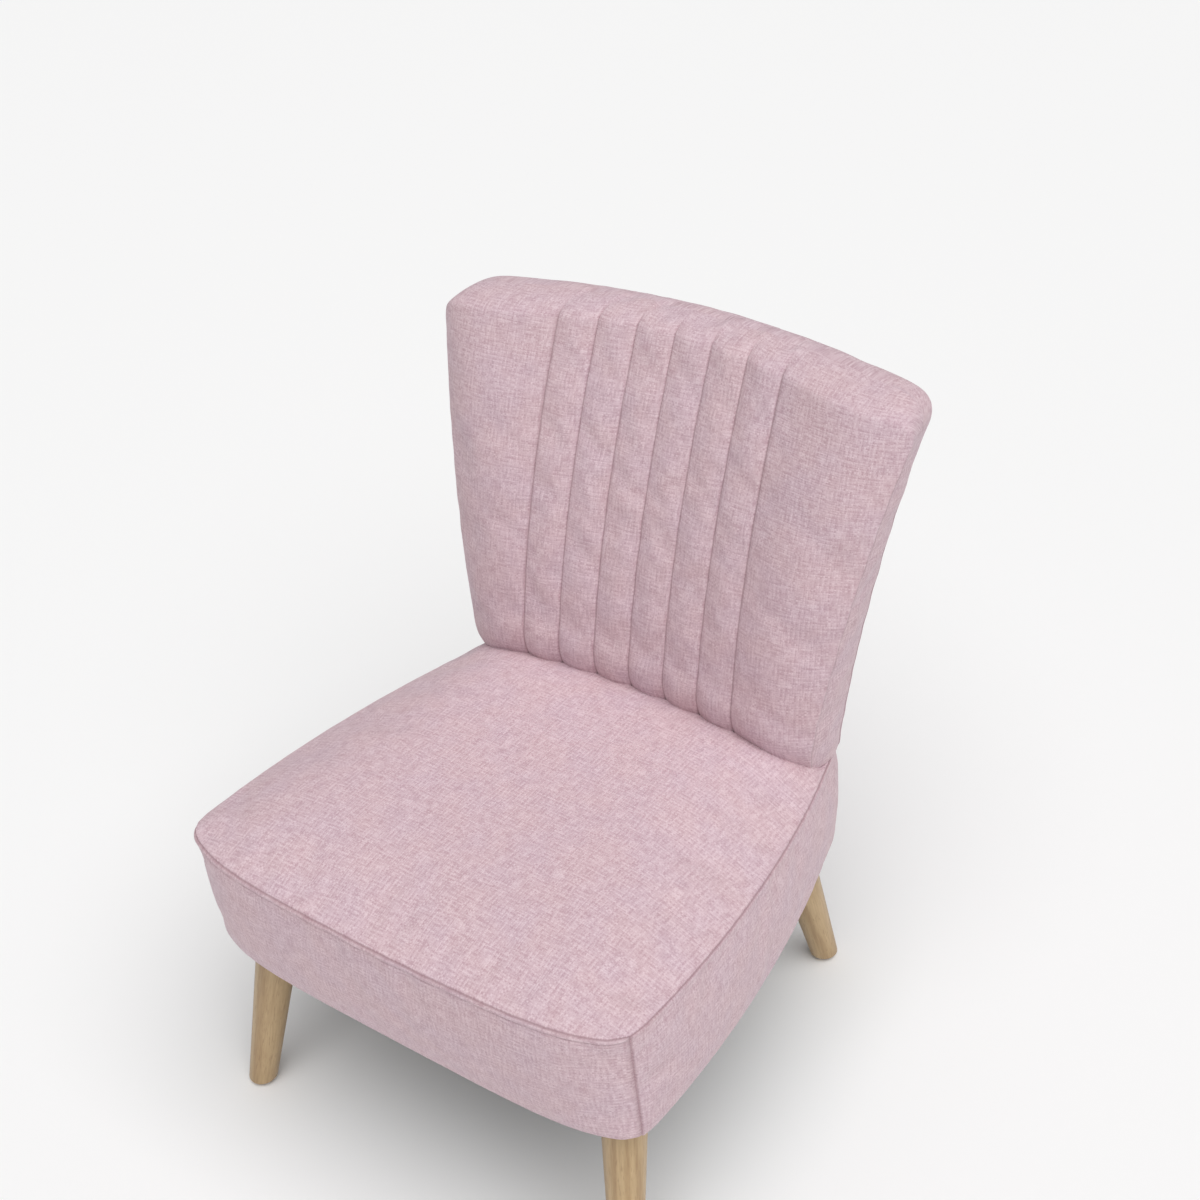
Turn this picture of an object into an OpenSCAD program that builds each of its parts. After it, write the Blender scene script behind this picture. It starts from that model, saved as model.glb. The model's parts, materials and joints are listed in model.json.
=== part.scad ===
// Armless upholstered chair with a channelled, fanned backrest on four splayed wooden legs.
// Millimetres. +Z is up, -Y is the front, and the origin is under the middle of the chair on the floor.

/* [Seat] */
// Width of the seat across the front top seam
seat_front_w = 570; // [520:5:690]
// Width of the seat across its rear edge
seat_rear_w = 430; // [400:5:500]
// Clear sitting depth from the front seam to the backrest
sit_d = 449; // [400:1:560]
// Height of the seat's front and sides, from the legs up to the top seam
side_h = 158; // [145:1:200]
// How much lower that seam is at the rear
seat_rake = 22; // [0:1:30]
// Rise of the cushioned top over the front seam
crown_h = 23; // [15:1:40]
// Bow of the front edge, middle to corner
front_bow = 35; // [20:1:45]
// Outward bow of each side of the seat
side_bow = 7.5; // [0:0.5:15]
// Tuck of the front face towards its lower edge
front_tuck = 20; // [0:1:26]
// Radius of the seat's rear corners
rear_corner_r = 26; // [15:1:40]

/* [Backrest] */
// Height of the backrest over the front seam
back_rise = 428; // [350:1:520]
// Width of the backrest face at its foot
back_foot_w = 454; // [420:2:480]
// Width of the backrest face at its widest
back_head_w = 606; // [560:2:640]
// Thickness at the foot of the backrest
back_foot_t = 115; // [108:1:126]
// Thickness at the head of the backrest
back_head_t = 66; // [64:1:90]
// Lean of the lower part of the back, in degrees
back_lean = 6; // [2:0.5:10]
// How far the head of the back curls rearwards beyond that lean
back_curl = 80; // [30:1:100]
// How far the side panels stand forward of the middle at the head
wrap_head = 70; // [0:1:80]
// The same at the foot
wrap_foot = 22; // [0:1:40]
// Fall of each side edge towards its boxing seam
edge_fall = 62; // [30:1:80]
// Bow of the rear panel from its middle to its edges
rear_bow = 21; // [14:1:26]
// How much narrower each side of the rear panel is at the head
rear_taper = 11; // [0:1:14]
// How far the foot of the face curls under towards the crease
foot_tuck = 17; // [5:1:24]
// Radius of the soft top edge
top_edge_r = 13; // [10:1:24]
// Radius of the top corners
top_corner_r = 22; // [18:1:60]
// Drop of the top edge from the middle to the corners
top_arch = 18; // [0:1:30]
// Number of narrow sewn channels
channels = 6; // [4:2:8]
// Width of one channel
channel_w = 47; // [36:1:52]
// Depth of the sewn grooves between channels
groove = 5; // [2:0.5:8]

/* [Legs] */
// Height of the legs
leg_h = 231; // [180:1:290]
// Diameter of a leg at the top
leg_top_dia = 51; // [42:1:56]
// Diameter of a leg at the foot
leg_foot_dia = 33; // [24:1:40]
// Distance of each front leg in from the seat's side, at its top
front_leg_side = 50; // [44:1:70]
// Distance of the front legs behind the front seam
front_leg_y = 92; // [84:1:110]
// Distance of each rear leg in from the seat's side, at its top
rear_leg_side = 45; // [42:1:70]
// Distance of the rear legs ahead of the seat's rear face
rear_leg_in = 44; // [42:1:60]
// Sideways splay of a leg from top to foot
splay_x = 27; // [0:1:40]
// Fore and aft splay of a leg from top to foot
splay_y = 51; // [0:1:60]
// Bevel round the foot of a leg
foot_bevel = 3; // [1:0.5:5]

/* [Frame] */
// Height of the seat rails
rail_h = 85; // [70:1:95]
// Thickness of the seat rails
rail_t = 20; // [18:1:24]
// Room for padding between a side rail and the cover
rail_gap = 12; // [10:1:18]
// Distance of the front rail behind the front seam
front_rail_y = 50; // [46:1:60]
// Size of the corner blocks along each rail
block_size = 84; // [70:1:100]
// Height of the corner blocks
block_h = 40; // [34:1:60]
// Depth of the back posts at the foot
post_foot_d = 58; // [50:1:60]
// Depth of the back posts at the head
post_head_d = 20; // [18:1:30]
// Thickness of the back posts and rails
post_t = 22; // [18:1:26]

/* [Upholstery] */
// Thickness of the cover cloth with its lining
cloth_t = 2.5; // [1.5:0.5:3]
// Clearance between neighbouring soft pieces
gap = 0.6; // [0.4:0.1:1]
// Wadding behind the back frame
rear_pad = 8; // [6:1:12]
// Thickness of the felt over the springs
felt_t = 4; // [3:1:6]
// Number of seat springs
springs = 5; // [4:1:6]
// Wire diameter of the seat springs
spring_wire = 3.8; // [3:0.1:4.5]
// Width of a seat spring
spring_w = 52; // [44:1:60]
// Width of the back webbing
strap_w = 50; // [40:1:60]
// Number of back webbing straps
straps = 5; // [4:1:6]

/* [Hardware] */
// Bolt diameter
bolt_dia = 8; // [6:1:8]
// Diameter of the threaded insert nuts
insert_dia = 12; // [11:0.5:14]
// Screw diameter in the corner blocks
screw_dia = 4; // [3.5:0.5:5]
// Dowel diameter in the rail joints
dowel_dia = 8; // [6:1:10]
// Glide diameter under each foot
glide_dia = 22; // [16:1:24]
// Glide thickness
glide_t = 3; // [2:0.5:5]

/* [Hidden] */

$fn = 48;
left = -1;
right = 1;
front = -1;
rear = 1;

cover_color = [0.86, 0.70, 0.74];
side_color = [0.80, 0.64, 0.69];
wood_color = [0.83, 0.71, 0.54];
pine_color = [0.87, 0.76, 0.58];
foam_color = [0.95, 0.90, 0.70];
felt_color = [0.75, 0.75, 0.73];
cloth_color = [0.16, 0.16, 0.17];
steel_color = [0.70, 0.71, 0.73];
plastic_color = [0.15, 0.15, 0.15];

// The seat stands on the legs and reaches back under the backrest
seam_z = leg_h + side_h;
seat_d = sit_d + back_foot_t;
front_leg_x = seat_front_w / 2 - front_leg_side;
rear_leg_x = seat_rear_w / 2 - rear_leg_side;

// Heights in the seat, from the legs up
dust_t = 1.5;
rail_z = leg_h + dust_t + gap;
rail_top_z = rail_z + rail_h;
wire_z = rail_top_z + 2 + spring_wire / 2;
felt_z = wire_z + spring_wire / 2 + 4;
foam_z = felt_z + felt_t + gap;

// The beam that carries the backrest fills the height between the rails and the lining
lining_z = seam_z - seat_rake - cloth_t;
beam_h = lining_z - rail_top_z - 4.4;

// Backrest heights and the depth of its face
deck_y = sit_d - 4;
back_z = seam_height(deck_y) + cloth_t + gap;
head_z = seam_z + back_rise - top_edge_r;
curve_h = head_z - back_z;

module from_front() {
    translate([0, front_y, 0])
        children();
}

// ---- Surfaces. In all of them y runs rearwards from the middle of the front seam ----

// The seam falls towards the backrest and is level under it
function seam_height(y) = seam_z - seat_rake * min(y, deck_y) / deck_y;

function side_part(y) = (y - front_bow) / (seat_d - front_bow);

// Half width of the seat at a depth y behind the corner seams
function seat_half(y) =
    let (t = side_part(y))
    seat_front_w / 2 + 4 * side_bow * t * (1 - t) - (seat_front_w - seat_rear_w) / 2 * t * t;

// Front edge in plan, u from -1 at the left corner to 1 at the right
function front_edge(u) = front_bow * (0.3 * pow(u, 2) + 0.7 * pow(u, 6));

function tuck(u, z) = front_tuck * (1 - 0.4 * u * u) * (seam_z - z) / (seam_z - leg_h);

// Half width of the seat top at any depth, including the bowed front edge
function top_half(y) = seat_half(max(y, front_bow));

// Height of the cushioned top over the seam, from 0 at the edges. The top stays level as the seam falls
function crown(u, v, y) =
    let (across = 1 - pow(abs(u), 5), along = v < 0 ? 1 - pow(abs(v), 4) : 1)
    (crown_h + seam_z - seam_height(y)) * across * along;

// Line where the seat top meets the curved face of the backrest
function crease_y(x) =
    face_y(min(1, abs(x) / back_half(back_z)), seam_z + crown_h) - groove - 2 * gap;

// One point of the seat top: u across, v from -1 at the front seam to 1 at the backrest
function seat_top_pt(u, v, inset, drop) =
    let (
        y_front = front_edge(u) + inset,
        y_rear = crease_y(u * seat_half(deck_y)) - inset,
        y = y_front + (y_rear - y_front) * (v + 1) / 2,
        x = u * (top_half(y) - inset)
    )
    [x, y, seam_height(y) + crown(u, v, y) - drop];

// Half width of the backrest face at a height z
function back_half(z) =
    let (s = (z - back_z) / curve_h)
    back_foot_w / 2 + (back_head_w - back_foot_w) / 2 * (0.8 * s + 0.2 * s * s);

// The foot of the face curls under, from 80 mm over its base down to where the seat hides it
tuck_low = 30;
tuck_high = 80;
function foot_in(z) =
    let (t = (tuck_high - (z - back_z)) / (tuck_high - tuck_low))
    foot_tuck * pow(max(0, min(1, t)), 2);

// Depth of the front face of the backrest
function face_y(u, z) =
    let (
        s = (z - back_z) / curve_h,
        wrap = wrap_foot + (wrap_head - wrap_foot) * s,
        fall = edge_fall * (0.8 + 0.3 * s)
    )
    sit_d + tan(back_lean) * (z - back_z) + back_curl * s * s
        - wrap * u * u + fall * pow(abs(u), 6) * 0.85 + foot_in(z);

// Slope of the face near the head, used to carry the lean over the top edge
head_slope = (face_y(0, head_z) - face_y(0, head_z - 10)) / 10;

// The chair is centred front to rear on the floor
overall_d = max([for (p = [1 : 0.05 : 2]) shell_pt(0, 0, p, 0, 0)[1]]);
front_y = -overall_d / 2;

// Depth of the rear face of the backrest: a gentler bow than the front
function rear_y(u, z) =
    let (
        s = (z - back_z) / curve_h,
        thick = back_foot_t + (back_head_t - back_foot_t) * s
    )
    sit_d + tan(back_lean) * (z - back_z) + back_curl * s * s + thick - rear_bow * u * u;

// How far the rear panel stands in from the face at each side
function rear_in(z) = rear_taper * max(0, z - back_z) / curve_h;

// Height at which the face starts to roll over the top edge
function roll_z(u) =
    let (
        c = top_corner_r / (back_head_w / 2),
        k = max(0, (abs(u) - (1 - c)) / c)
    )
    head_z - top_arch * u * u - top_corner_r * (1 - sqrt(1 - 0.98 * k * k));

// Height of a point part way (p, 0 to 1) up the face at u
function row_z(u, p) = back_z + (roll_z(u) - back_z) * min(p, 1);

// A point on the rolled shell of the back: p 0 to 1 up the face, 1 to 2 over the top to the rear
function shell_pt(x_of, u, p, inset, sink) =
    let (
        z0 = back_z + inset,
        zt = roll_z(u),
        z = p <= 1 ? z0 + (zt - z0) * p : zt,
        half_t = (rear_y(u, zt) - face_y(u, zt)) / 2,
        a = max(0, p - 1) * 180,
        lift = (top_edge_r - inset) * sin(a),
        y = face_y(u, z) + inset + sink + head_slope * lift
            + (half_t - inset - sink / 2) * (1 - cos(a))
    )
    [x_of - u * rear_in(zt) * (1 - cos(a)) / 2, y, z + lift];

// Closed slab between two grids of points. Seen from outside grid a, rows go up and columns right
module slab(a, b) {
    rows = len(a);
    cols = len(a[0]);
    n = rows * cols;
    function id(k, i, j) = k * n + i * cols + j;
    face_a = [for (i = [0 : rows - 2]) for (j = [0 : cols - 2])
        each [[id(0, i, j), id(0, i + 1, j), id(0, i + 1, j + 1)],
              [id(0, i, j), id(0, i + 1, j + 1), id(0, i, j + 1)]]];
    face_b = [for (i = [0 : rows - 2]) for (j = [0 : cols - 2])
        each [[id(1, i, j), id(1, i + 1, j + 1), id(1, i + 1, j)],
              [id(1, i, j), id(1, i, j + 1), id(1, i + 1, j + 1)]]];
    low = [for (j = [0 : cols - 2])
        each [[id(0, 0, j), id(0, 0, j + 1), id(1, 0, j + 1)], [id(0, 0, j), id(1, 0, j + 1), id(1, 0, j)]]];
    m = rows - 1;
    high = [for (j = [0 : cols - 2])
        each [[id(0, m, j), id(1, m, j + 1), id(0, m, j + 1)], [id(0, m, j), id(1, m, j), id(1, m, j + 1)]]];
    near = [for (i = [0 : rows - 2])
        each [[id(0, i, 0), id(1, i + 1, 0), id(0, i + 1, 0)], [id(0, i, 0), id(1, i, 0), id(1, i + 1, 0)]]];
    c = cols - 1;
    far = [for (i = [0 : rows - 2])
        each [[id(0, i, c), id(0, i + 1, c), id(1, i + 1, c)], [id(0, i, c), id(1, i + 1, c), id(1, i, c)]]];
    polyhedron(
        points = [for (g = [a, b]) for (row = g) each row],
        faces = concat(face_a, face_b, low, high, near, far),
        convexity = 8
    );
}

// Round wire along a flat path
module wire(path, r, sides = 6) {
    n = len(path);
    dirs = [for (i = [0 : n - 1])
        let (d = path[min(i + 1, n - 1)] - path[max(i - 1, 0)]) d / norm(d)];
    pts = [for (i = [0 : n - 1]) for (k = [0 : sides - 1])
        let (a = 360 * k / sides)
        path[i] + r * cos(a) * [dirs[i][1], -dirs[i][0], 0] + [0, 0, r * sin(a)]];
    walls = [for (i = [0 : n - 2]) for (k = [0 : sides - 1])
        let (q = i * sides + k, w = i * sides + (k + 1) % sides)
        each [[q, w + sides, q + sides], [q, w, w + sides]]];
    caps = [[for (k = [sides - 1 : -1 : 0]) k], [for (k = [0 : sides - 1]) (n - 1) * sides + k]];
    polyhedron(points = pts, faces = concat(walls, caps), convexity = 8);
}

// ---- Legs ----

function leg_top(side, row) =
    row == front ? [side * front_leg_x, front_leg_y, leg_h]
                 : [side * rear_leg_x, seat_d - rear_leg_in, leg_h];

function foot_centre(side, row) = leg_top(side, row) + [side * splay_x, row * splay_y, -leg_h];

splay_angle = atan(norm([splay_x, splay_y]) / leg_h);
leg_len = norm([splay_x, splay_y, leg_h]);
bolt_in_leg = 42;

// Local +Z runs down the leg from the middle of its top face
module along_leg(side, row) {
    translate(leg_top(side, row))
        rotate([0, 0, atan2(row * splay_y, side * splay_x)])
            rotate([0, 180 - splay_angle, 0])
                children();
}

module leg(side, row) {
    grow = 20;
    taper = (leg_top_dia - leg_foot_dia) / 2 / leg_len;
    foot = foot_centre(side, row);
    color(wood_color) from_front() difference() {
        intersection() {
            along_leg(side, row)
                translate([0, 0, -grow])
                    cylinder(h = leg_len + 2 * grow, r1 = leg_top_dia / 2 + taper * grow,
                             r2 = leg_foot_dia / 2 - taper * grow);
            translate([foot[0], foot[1], glide_t])
                cylinder(h = leg_h - glide_t, r1 = leg_foot_dia / 2 + 0.4 - foot_bevel,
                         r2 = leg_foot_dia / 2 + 0.4 - foot_bevel + leg_h - glide_t);
        }
        along_leg(side, row)
            translate([0, 0, -grow])
                cylinder(h = bolt_in_leg + grow, d = bolt_dia);
        translate([foot[0], foot[1], 0])
            cylinder(h = glide_t + 12, d = 2.4, $fn = 24);
    }
}

module glide(side, row) {
    foot = foot_centre(side, row);
    color(plastic_color) from_front() translate([foot[0], foot[1], 0]) {
        cylinder(h = glide_t, d = glide_dia);
        cylinder(h = glide_t + 12, d = 2.4, $fn = 24);
    }
}

insert_len = 20;

module hanger_bolts() {
    up = insert_len + 10;
    color(steel_color) from_front()
        for (side = [left, right]) for (row = [front, rear])
            along_leg(side, row)
                translate([0, 0, -up])
                    cylinder(h = up + bolt_in_leg - 1, d = bolt_dia);
}

module leg_inserts_solid() {
    for (side = [left, right]) for (row = [front, rear])
        along_leg(side, row)
            translate([0, 0, -insert_len - 6])
                cylinder(h = insert_len, d = insert_dia);
}

module leg_insert_nuts() {
    color(steel_color) from_front() difference() {
        leg_inserts_solid();
        for (side = [left, right]) for (row = [front, rear])
            along_leg(side, row)
                translate([0, 0, -60])
                    cylinder(h = 60, d = bolt_dia);
    }
}

// ---- Seat frame ----

rear_rail_y = seat_d - rail_gap - rail_t;
spring_rail_y = deck_y - 2;
beam_y = spring_rail_y + rail_t + 2;
beam_d = seat_d - rail_gap - beam_y;

// Outer face of a side rail: straight from front corner to rear corner
function rail_out(y) =
    let (
        x1 = seat_front_w / 2 - rail_gap,
        x2 = seat_rear_w / 2 - rail_gap,
        t = (y - front_rail_y) / (seat_d - rail_gap - front_rail_y)
    )
    x1 + (x2 - x1) * t;

rail_slant = atan((rail_out(front_rail_y) - rail_out(seat_d - rail_gap))
                  / (seat_d - rail_gap - front_rail_y));

function rail_in(y) = rail_out(y) - rail_t / cos(rail_slant);

// Board that fits between the side rails from y to y + rail_t
module cross_board(y, h) {
    linear_extrude(h)
        polygon([[-rail_in(y), y], [rail_in(y), y],
                 [rail_in(y + rail_t), y + rail_t], [-rail_in(y + rail_t), y + rail_t]]);
}

// Two dowels through each side rail into each cross board
module dowel_set() {
    // the spring rail's dowels stay above the corner blocks
    joints = [[front_rail_y, 0.25], [front_rail_y, 0.75], [rear_rail_y, 0.25], [rear_rail_y, 0.75],
              [spring_rail_y, 0.66], [spring_rail_y, 0.86]];
    for (side = [left, right]) for (j = joints)
        translate([side * (rail_out(j[0] + rail_t / 2) - 6), j[0] + rail_t / 2, rail_z + rail_h * j[1]])
            rotate([0, -side * 90, 0])
                cylinder(h = 48, d = dowel_dia, $fn = 32);
}

// Centre of the inner corner that a block sits in
function block_corner(row) = row == front ? front_rail_y + rail_t : rear_rail_y;

// Two screws fasten each corner block, one into each rail
module block_screw_set() {
    for (side = [left, right]) for (row = [front, rear]) {
        y = block_corner(row);
        far_y = y - row * block_size * 0.62;
        // into the side rail
        translate([side * (rail_in(far_y) + 12), far_y, rail_z + block_h / 2])
            rotate([0, -side * 90, 0])
                cylinder(h = 46, d = screw_dia, $fn = 24);
        // into the front or rear rail
        translate([side * (rail_in(y) - block_size * 0.78), y + row * 12, rail_z + block_h / 2])
            rotate([row * 90, 0, 0])
                cylinder(h = 42, d = screw_dia, $fn = 24);
    }
}

module rail_dowels() {
    color(pine_color) from_front() dowel_set();
}

module block_screws() {
    color(steel_color) from_front() block_screw_set();
}

module side_rail(side) {
    end_y = seat_d - rail_gap;
    color(pine_color) from_front() difference() {
        translate([0, 0, rail_z])
            linear_extrude(rail_h)
                polygon([[side * rail_out(front_rail_y), front_rail_y], [side * rail_out(end_y), end_y],
                         [side * rail_in(end_y), end_y], [side * rail_in(front_rail_y), front_rail_y]]);
        dowel_set();
        block_screw_set();
    }
}

module seat_front_rail() {
    color(pine_color) from_front() difference() {
        translate([0, 0, rail_z]) cross_board(front_rail_y, rail_h);
        dowel_set();
        block_screw_set();
    }
}

module seat_rear_rail() {
    color(pine_color) from_front() difference() {
        translate([0, 0, rail_z]) cross_board(rear_rail_y, rail_h);
        dowel_set();
        block_screw_set();
    }
}

module spring_rail() {
    color(pine_color) from_front() difference() {
        translate([0, 0, rail_z + 0.1]) cross_board(spring_rail_y, rail_h - 0.1);
        dowel_set();
        // room for the rear corner blocks where they reach this far
        for (side = [left, right])
            translate([side * (rail_in(spring_rail_y) - block_size / 2), spring_rail_y, rail_z - 1])
                cube([block_size * 1.4, 3 * rail_t, 2 * (block_h + 2)], center = true);
    }
}

module corner_block(side, row) {
    y = block_corner(row);
    y2 = y - row * block_size;
    cut = 26;
    color(pine_color) from_front() difference() {
        translate([0, 0, rail_z])
            linear_extrude(block_h)
                polygon([[side * (rail_in(y)), y], [side * rail_in(y2), y2],
                         [side * (rail_in(y2) - cut), y2],
                         [side * (rail_in(y) - block_size), y - row * cut],
                         [side * (rail_in(y) - block_size), y]]);
        leg_inserts_solid();
        along_leg(side, row)
            translate([0, 0, -80])
                cylinder(h = 90, d = bolt_dia);
        block_screw_set();
    }
}

bolt_xs = [-135, -55, 55, 135];
bolt_y = seat_d - rail_gap - rail_t - 15;
head_h = 5.3;

module back_beam() {
    color(pine_color) from_front() difference() {
        translate([0, 0, rail_top_z + 0.2])
            linear_extrude(beam_h)
                polygon([[-rail_out(beam_y), beam_y], [rail_out(beam_y), beam_y],
                         [rail_out(beam_y + beam_d), beam_y + beam_d],
                         [-rail_out(beam_y + beam_d), beam_y + beam_d]]);
        for (x = bolt_xs)
            translate([x, bolt_y, rail_top_z - 1])
                cylinder(h = beam_h + 4, d = bolt_dia + 1);
    }
}

// ---- Springs and filling ----

spring_start = front_rail_y + rail_t / 2;
spring_end = spring_rail_y + rail_t / 2;
spring_turns = 15;

// Zigzag path: level bends joined by straight cross wires
function spring_path(x0) =
    let (
        pitch = (spring_end - spring_start) / (spring_turns + 1),
        r = pitch / 2,
        reach = spring_w / 2 - r
    )
    concat(
        [[x0, spring_start, wire_z]],
        [for (i = [0 : spring_turns - 1])
            let (sgn = i % 2 == 0 ? 1 : -1, yc = spring_start + pitch * (i + 0.5) + r)
            for (a = [-90, -30, 30, 90])
                [x0 + sgn * (reach + r * cos(a)), yc + r * sin(a), wire_z]],
        [[x0, spring_end, wire_z]]
    );

function spring_x(i) = (i - (springs - 1) / 2) * (2 * rail_in(spring_end) - spring_w) / springs;

module seat_springs() {
    color(steel_color) from_front()
        for (i = [0 : springs - 1])
            wire(spring_path(spring_x(i)), spring_wire / 2);
}

// Folded steel clip: a foot on the rail and a tongue over the wire
module spring_clip() {
    translate([-12, -8, 0]) cube([24, 16, 1.2]);
    translate([-12, -8, 0]) cube([4, 16, spring_wire + 4]);
    translate([-12, -8, spring_wire + 2.8]) cube([24, 16, 1.2]);
}

module spring_clips() {
    color(steel_color) from_front()
        for (i = [0 : springs - 1]) {
            translate([spring_x(i) - 4, spring_start - 1, rail_top_z + 0.1]) spring_clip();
            translate([spring_x(i) + 4, spring_end + 1, rail_top_z + 0.1]) mirror([1, 0, 0]) spring_clip();
        }
}

module spring_felt() {
    y2 = spring_end + rail_t / 2;
    color(felt_color) from_front()
        translate([0, 0, felt_z])
            linear_extrude(felt_t)
                polygon([[-rail_in(front_rail_y), front_rail_y], [rail_in(front_rail_y), front_rail_y],
                         [rail_in(y2), y2], [-rail_in(y2), y2]]);
}

function steps(n) = [for (i = [0 : n]) -1 + 2 * i / n];

// The same, crowded towards both ends
function edge_steps(n) = [for (s = steps(n)) sin(90 * s)];

module seat_foam() {
    inset = cloth_t + gap + 1;
    drop = cloth_t + 2 * gap;
    us = steps(20);
    vs = steps(14);
    top = [for (v = vs) [for (u = us) seat_top_pt(u * 0.995, v * 0.985, inset, drop)]];
    base = [for (row = top) [for (p = row)
        let (slope = tuck(p[0] * 2 / seat_front_w, foam_z) * max(0, deck_y - p[1]) / deck_y)
        [p[0], p[1] + slope, foam_z]]];
    color(foam_color) from_front() slab(top, base);
}

// ---- Seat covers ----

module seat_top_cover() {
    us = steps(24);
    vs = steps(16);
    top = [for (v = vs) [for (u = us) seat_top_pt(u, v, 0, 0)]];
    under = [for (v = vs) [for (u = us) seat_top_pt(u, v, 0, cloth_t)]];
    color(cover_color) from_front() slab(top, under);
}

function front_pt(u, z, inset) =
    [u * seat_front_w / 2, front_edge(u) + tuck(u, z) + inset, z];

module seat_front_cover() {
    us = steps(24);
    heights = [0, 0.5, 1];
    z_of = function(h, u) leg_h + h * (seam_height(front_edge(u)) - cloth_t - gap - leg_h);
    outer = [for (h = heights) [for (u = us) front_pt(u, z_of(h, u), 0)]];
    inner = [for (h = heights) [for (u = us) front_pt(u, z_of(h, u), cloth_t)]];
    color(side_color) from_front() slab(outer, inner);
}

side_end_y = seat_d - rear_corner_r;

module side_cover() {
    n = 14;
    ys = [for (i = [0 : n]) front_bow + (side_end_y - front_bow) * i / n];
    heights = [0, 0.5, 1];
    z_of = function(h, y) leg_h + h * (seam_height(y) - cloth_t - gap - leg_h);
    lean = function(h, y) tuck(1, leg_h + h * (seam_z - leg_h)) * (side_end_y - y) / (side_end_y - front_bow);
    outer = [for (h = heights) [for (y = ys)
        [seat_half(y) + 0.3 + cloth_t, y + lean(h, y), z_of(h, y)]]];
    inner = [for (h = heights) [for (y = ys)
        [seat_half(y) + 0.3, y + lean(h, y), z_of(h, y)]]];
    color(side_color) from_front() slab(outer, inner);
}

module seat_rear_cover() {
    r = rear_corner_r;
    x0 = seat_half(side_end_y) - r;
    arc = function(inset) concat(
        [for (a = [180 : -15 : 90]) [-x0 + (r - inset) * cos(a), side_end_y + (r - inset) * sin(a)]],
        [[0, seat_d - inset]],
        [for (a = [90 : -15 : 0]) [x0 + (r - inset) * cos(a), side_end_y + (r - inset) * sin(a)]]
    );
    heights = [leg_h, seam_height(seat_d) - cloth_t - gap];
    inner = [for (z = heights) [for (p = arc(cloth_t)) [p[0], p[1] + 0.4, z]]];
    outer = [for (z = heights) [for (p = arc(0)) [p[0], p[1] + 0.4, z]]];
    color(side_color) from_front() slab(inner, outer);
}

// Plan outline of the seat between two depths, inset all round
function outline(y1, y2, inset) =
    let (n = 10, ys = [for (i = [0 : n]) y1 + (y2 - y1) * i / n])
    concat([for (y = ys) [seat_half(y) - inset, y]],
           [for (i = [n : -1 : 0]) [-(seat_half(ys[i]) - inset), ys[i]]]);

module bolt_holes(z, h, d) {
    for (x = bolt_xs)
        translate([x, bolt_y, z])
            cylinder(h = h, d = d);
}

// Plain lining where the backrest covers the seat
module deck_cloth() {
    inset = rear_corner_r / 2;
    front_w = seat_half(deck_y) - inset;
    color(felt_color) from_front() difference() {
        translate([0, 0, lining_z])
            linear_extrude(cloth_t)
                polygon(concat(
                    [for (u = steps(24)) [u * front_w, crease_y(u * front_w) + 7 * gap]],
                    [for (y = [deck_y + 60, seat_d - inset]) [seat_half(y) - inset, y]],
                    [for (y = [seat_d - inset, deck_y + 60]) [inset - seat_half(y), y]]
                ));
        bolt_holes(lining_z - 1, cloth_t + 2, bolt_dia + 1);
    }
}

module dust_cover() {
    inset = 8;
    front_x = seat_front_w / 2 - inset;
    side_y = front_bow + front_tuck + inset;
    color(cloth_color) from_front() difference() {
        translate([0, 0, leg_h + 0.2])
            linear_extrude(dust_t)
                polygon(concat(
                    [for (u = steps(12)) [u * front_x, front_edge(u) + tuck(u, leg_h) + inset]],
                    outline(side_y, seat_d - inset - rear_corner_r / 2, inset)
                ));
        for (side = [left, right]) for (row = [front, rear])
            translate([leg_top(side, row)[0], leg_top(side, row)[1], leg_h - 5])
                cylinder(h = 12, d = insert_dia + 4);
    }
}

staple_pitch = 42;

module staple(x, y, turn) {
    translate([x, y, leg_h - 0.6])
        rotate([0, 0, turn])
            translate([-6, -0.6, 0])
                cube([12, 1.2, 0.8]);
}

// Staples through the dust cover into the underside of the rails
module dust_cover_staples() {
    color(steel_color) from_front() {
        for (i = [-4 : 4]) {
            staple(i * staple_pitch, front_rail_y + rail_t / 2, 0);
            staple(i * staple_pitch * 0.6, rear_rail_y + rail_t / 2, 0);
        }
        for (side = [left, right]) for (i = [0 : 7]) {
            y = front_rail_y + rail_t + 64 + i * staple_pitch;
            staple(side * (rail_out(y) + rail_in(y)) / 2, y, 90 + side * rail_slant);
        }
    }
}

// ---- Backrest frame ----

post_u = 0.82;
post_z = back_z + 4.5;
post_top_z = head_z - 26;
post_x = back_half(post_z) * post_u;
post_tilt = atan((back_half(post_top_z) * post_u - post_x) / (post_top_z - post_z));

function frame_rear_y(z) = rear_y(post_u, z) - cloth_t - gap - rear_pad;

function post_depth(z) = post_foot_d + (post_head_d - post_foot_d) * (z - back_z) / curve_h;

function frame_front_y(z) = frame_rear_y(z) - post_depth(z);

function lean_at(z) = atan((frame_rear_y(z + 5) - frame_rear_y(z - 5)) / 10);

// Curved post cut from board, leaning outwards with the fan of the back
module back_post(side) {
    n = 12;
    zs = [for (i = [0 : n]) post_z + (post_top_z - post_z) * i / n];
    along = function(z) (z - post_z) / cos(post_tilt);
    profile = concat([for (z = zs) [frame_front_y(z), along(z)]],
                     [for (i = [n : -1 : 0]) [frame_rear_y(zs[i]), along(zs[i])]]);
    color(pine_color) from_front()
        translate([side * post_x, 0, post_z])
            rotate([0, side * post_tilt, 0])
                rotate([90, 0, 90])
                    translate([0, 0, -post_t / 2])
                        linear_extrude(post_t)
                            polygon(profile);
}

// Inner face of the posts at a height
function post_in(z) = post_x + tan(post_tilt) * (z - post_z) - post_t / 2 / cos(post_tilt);

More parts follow.
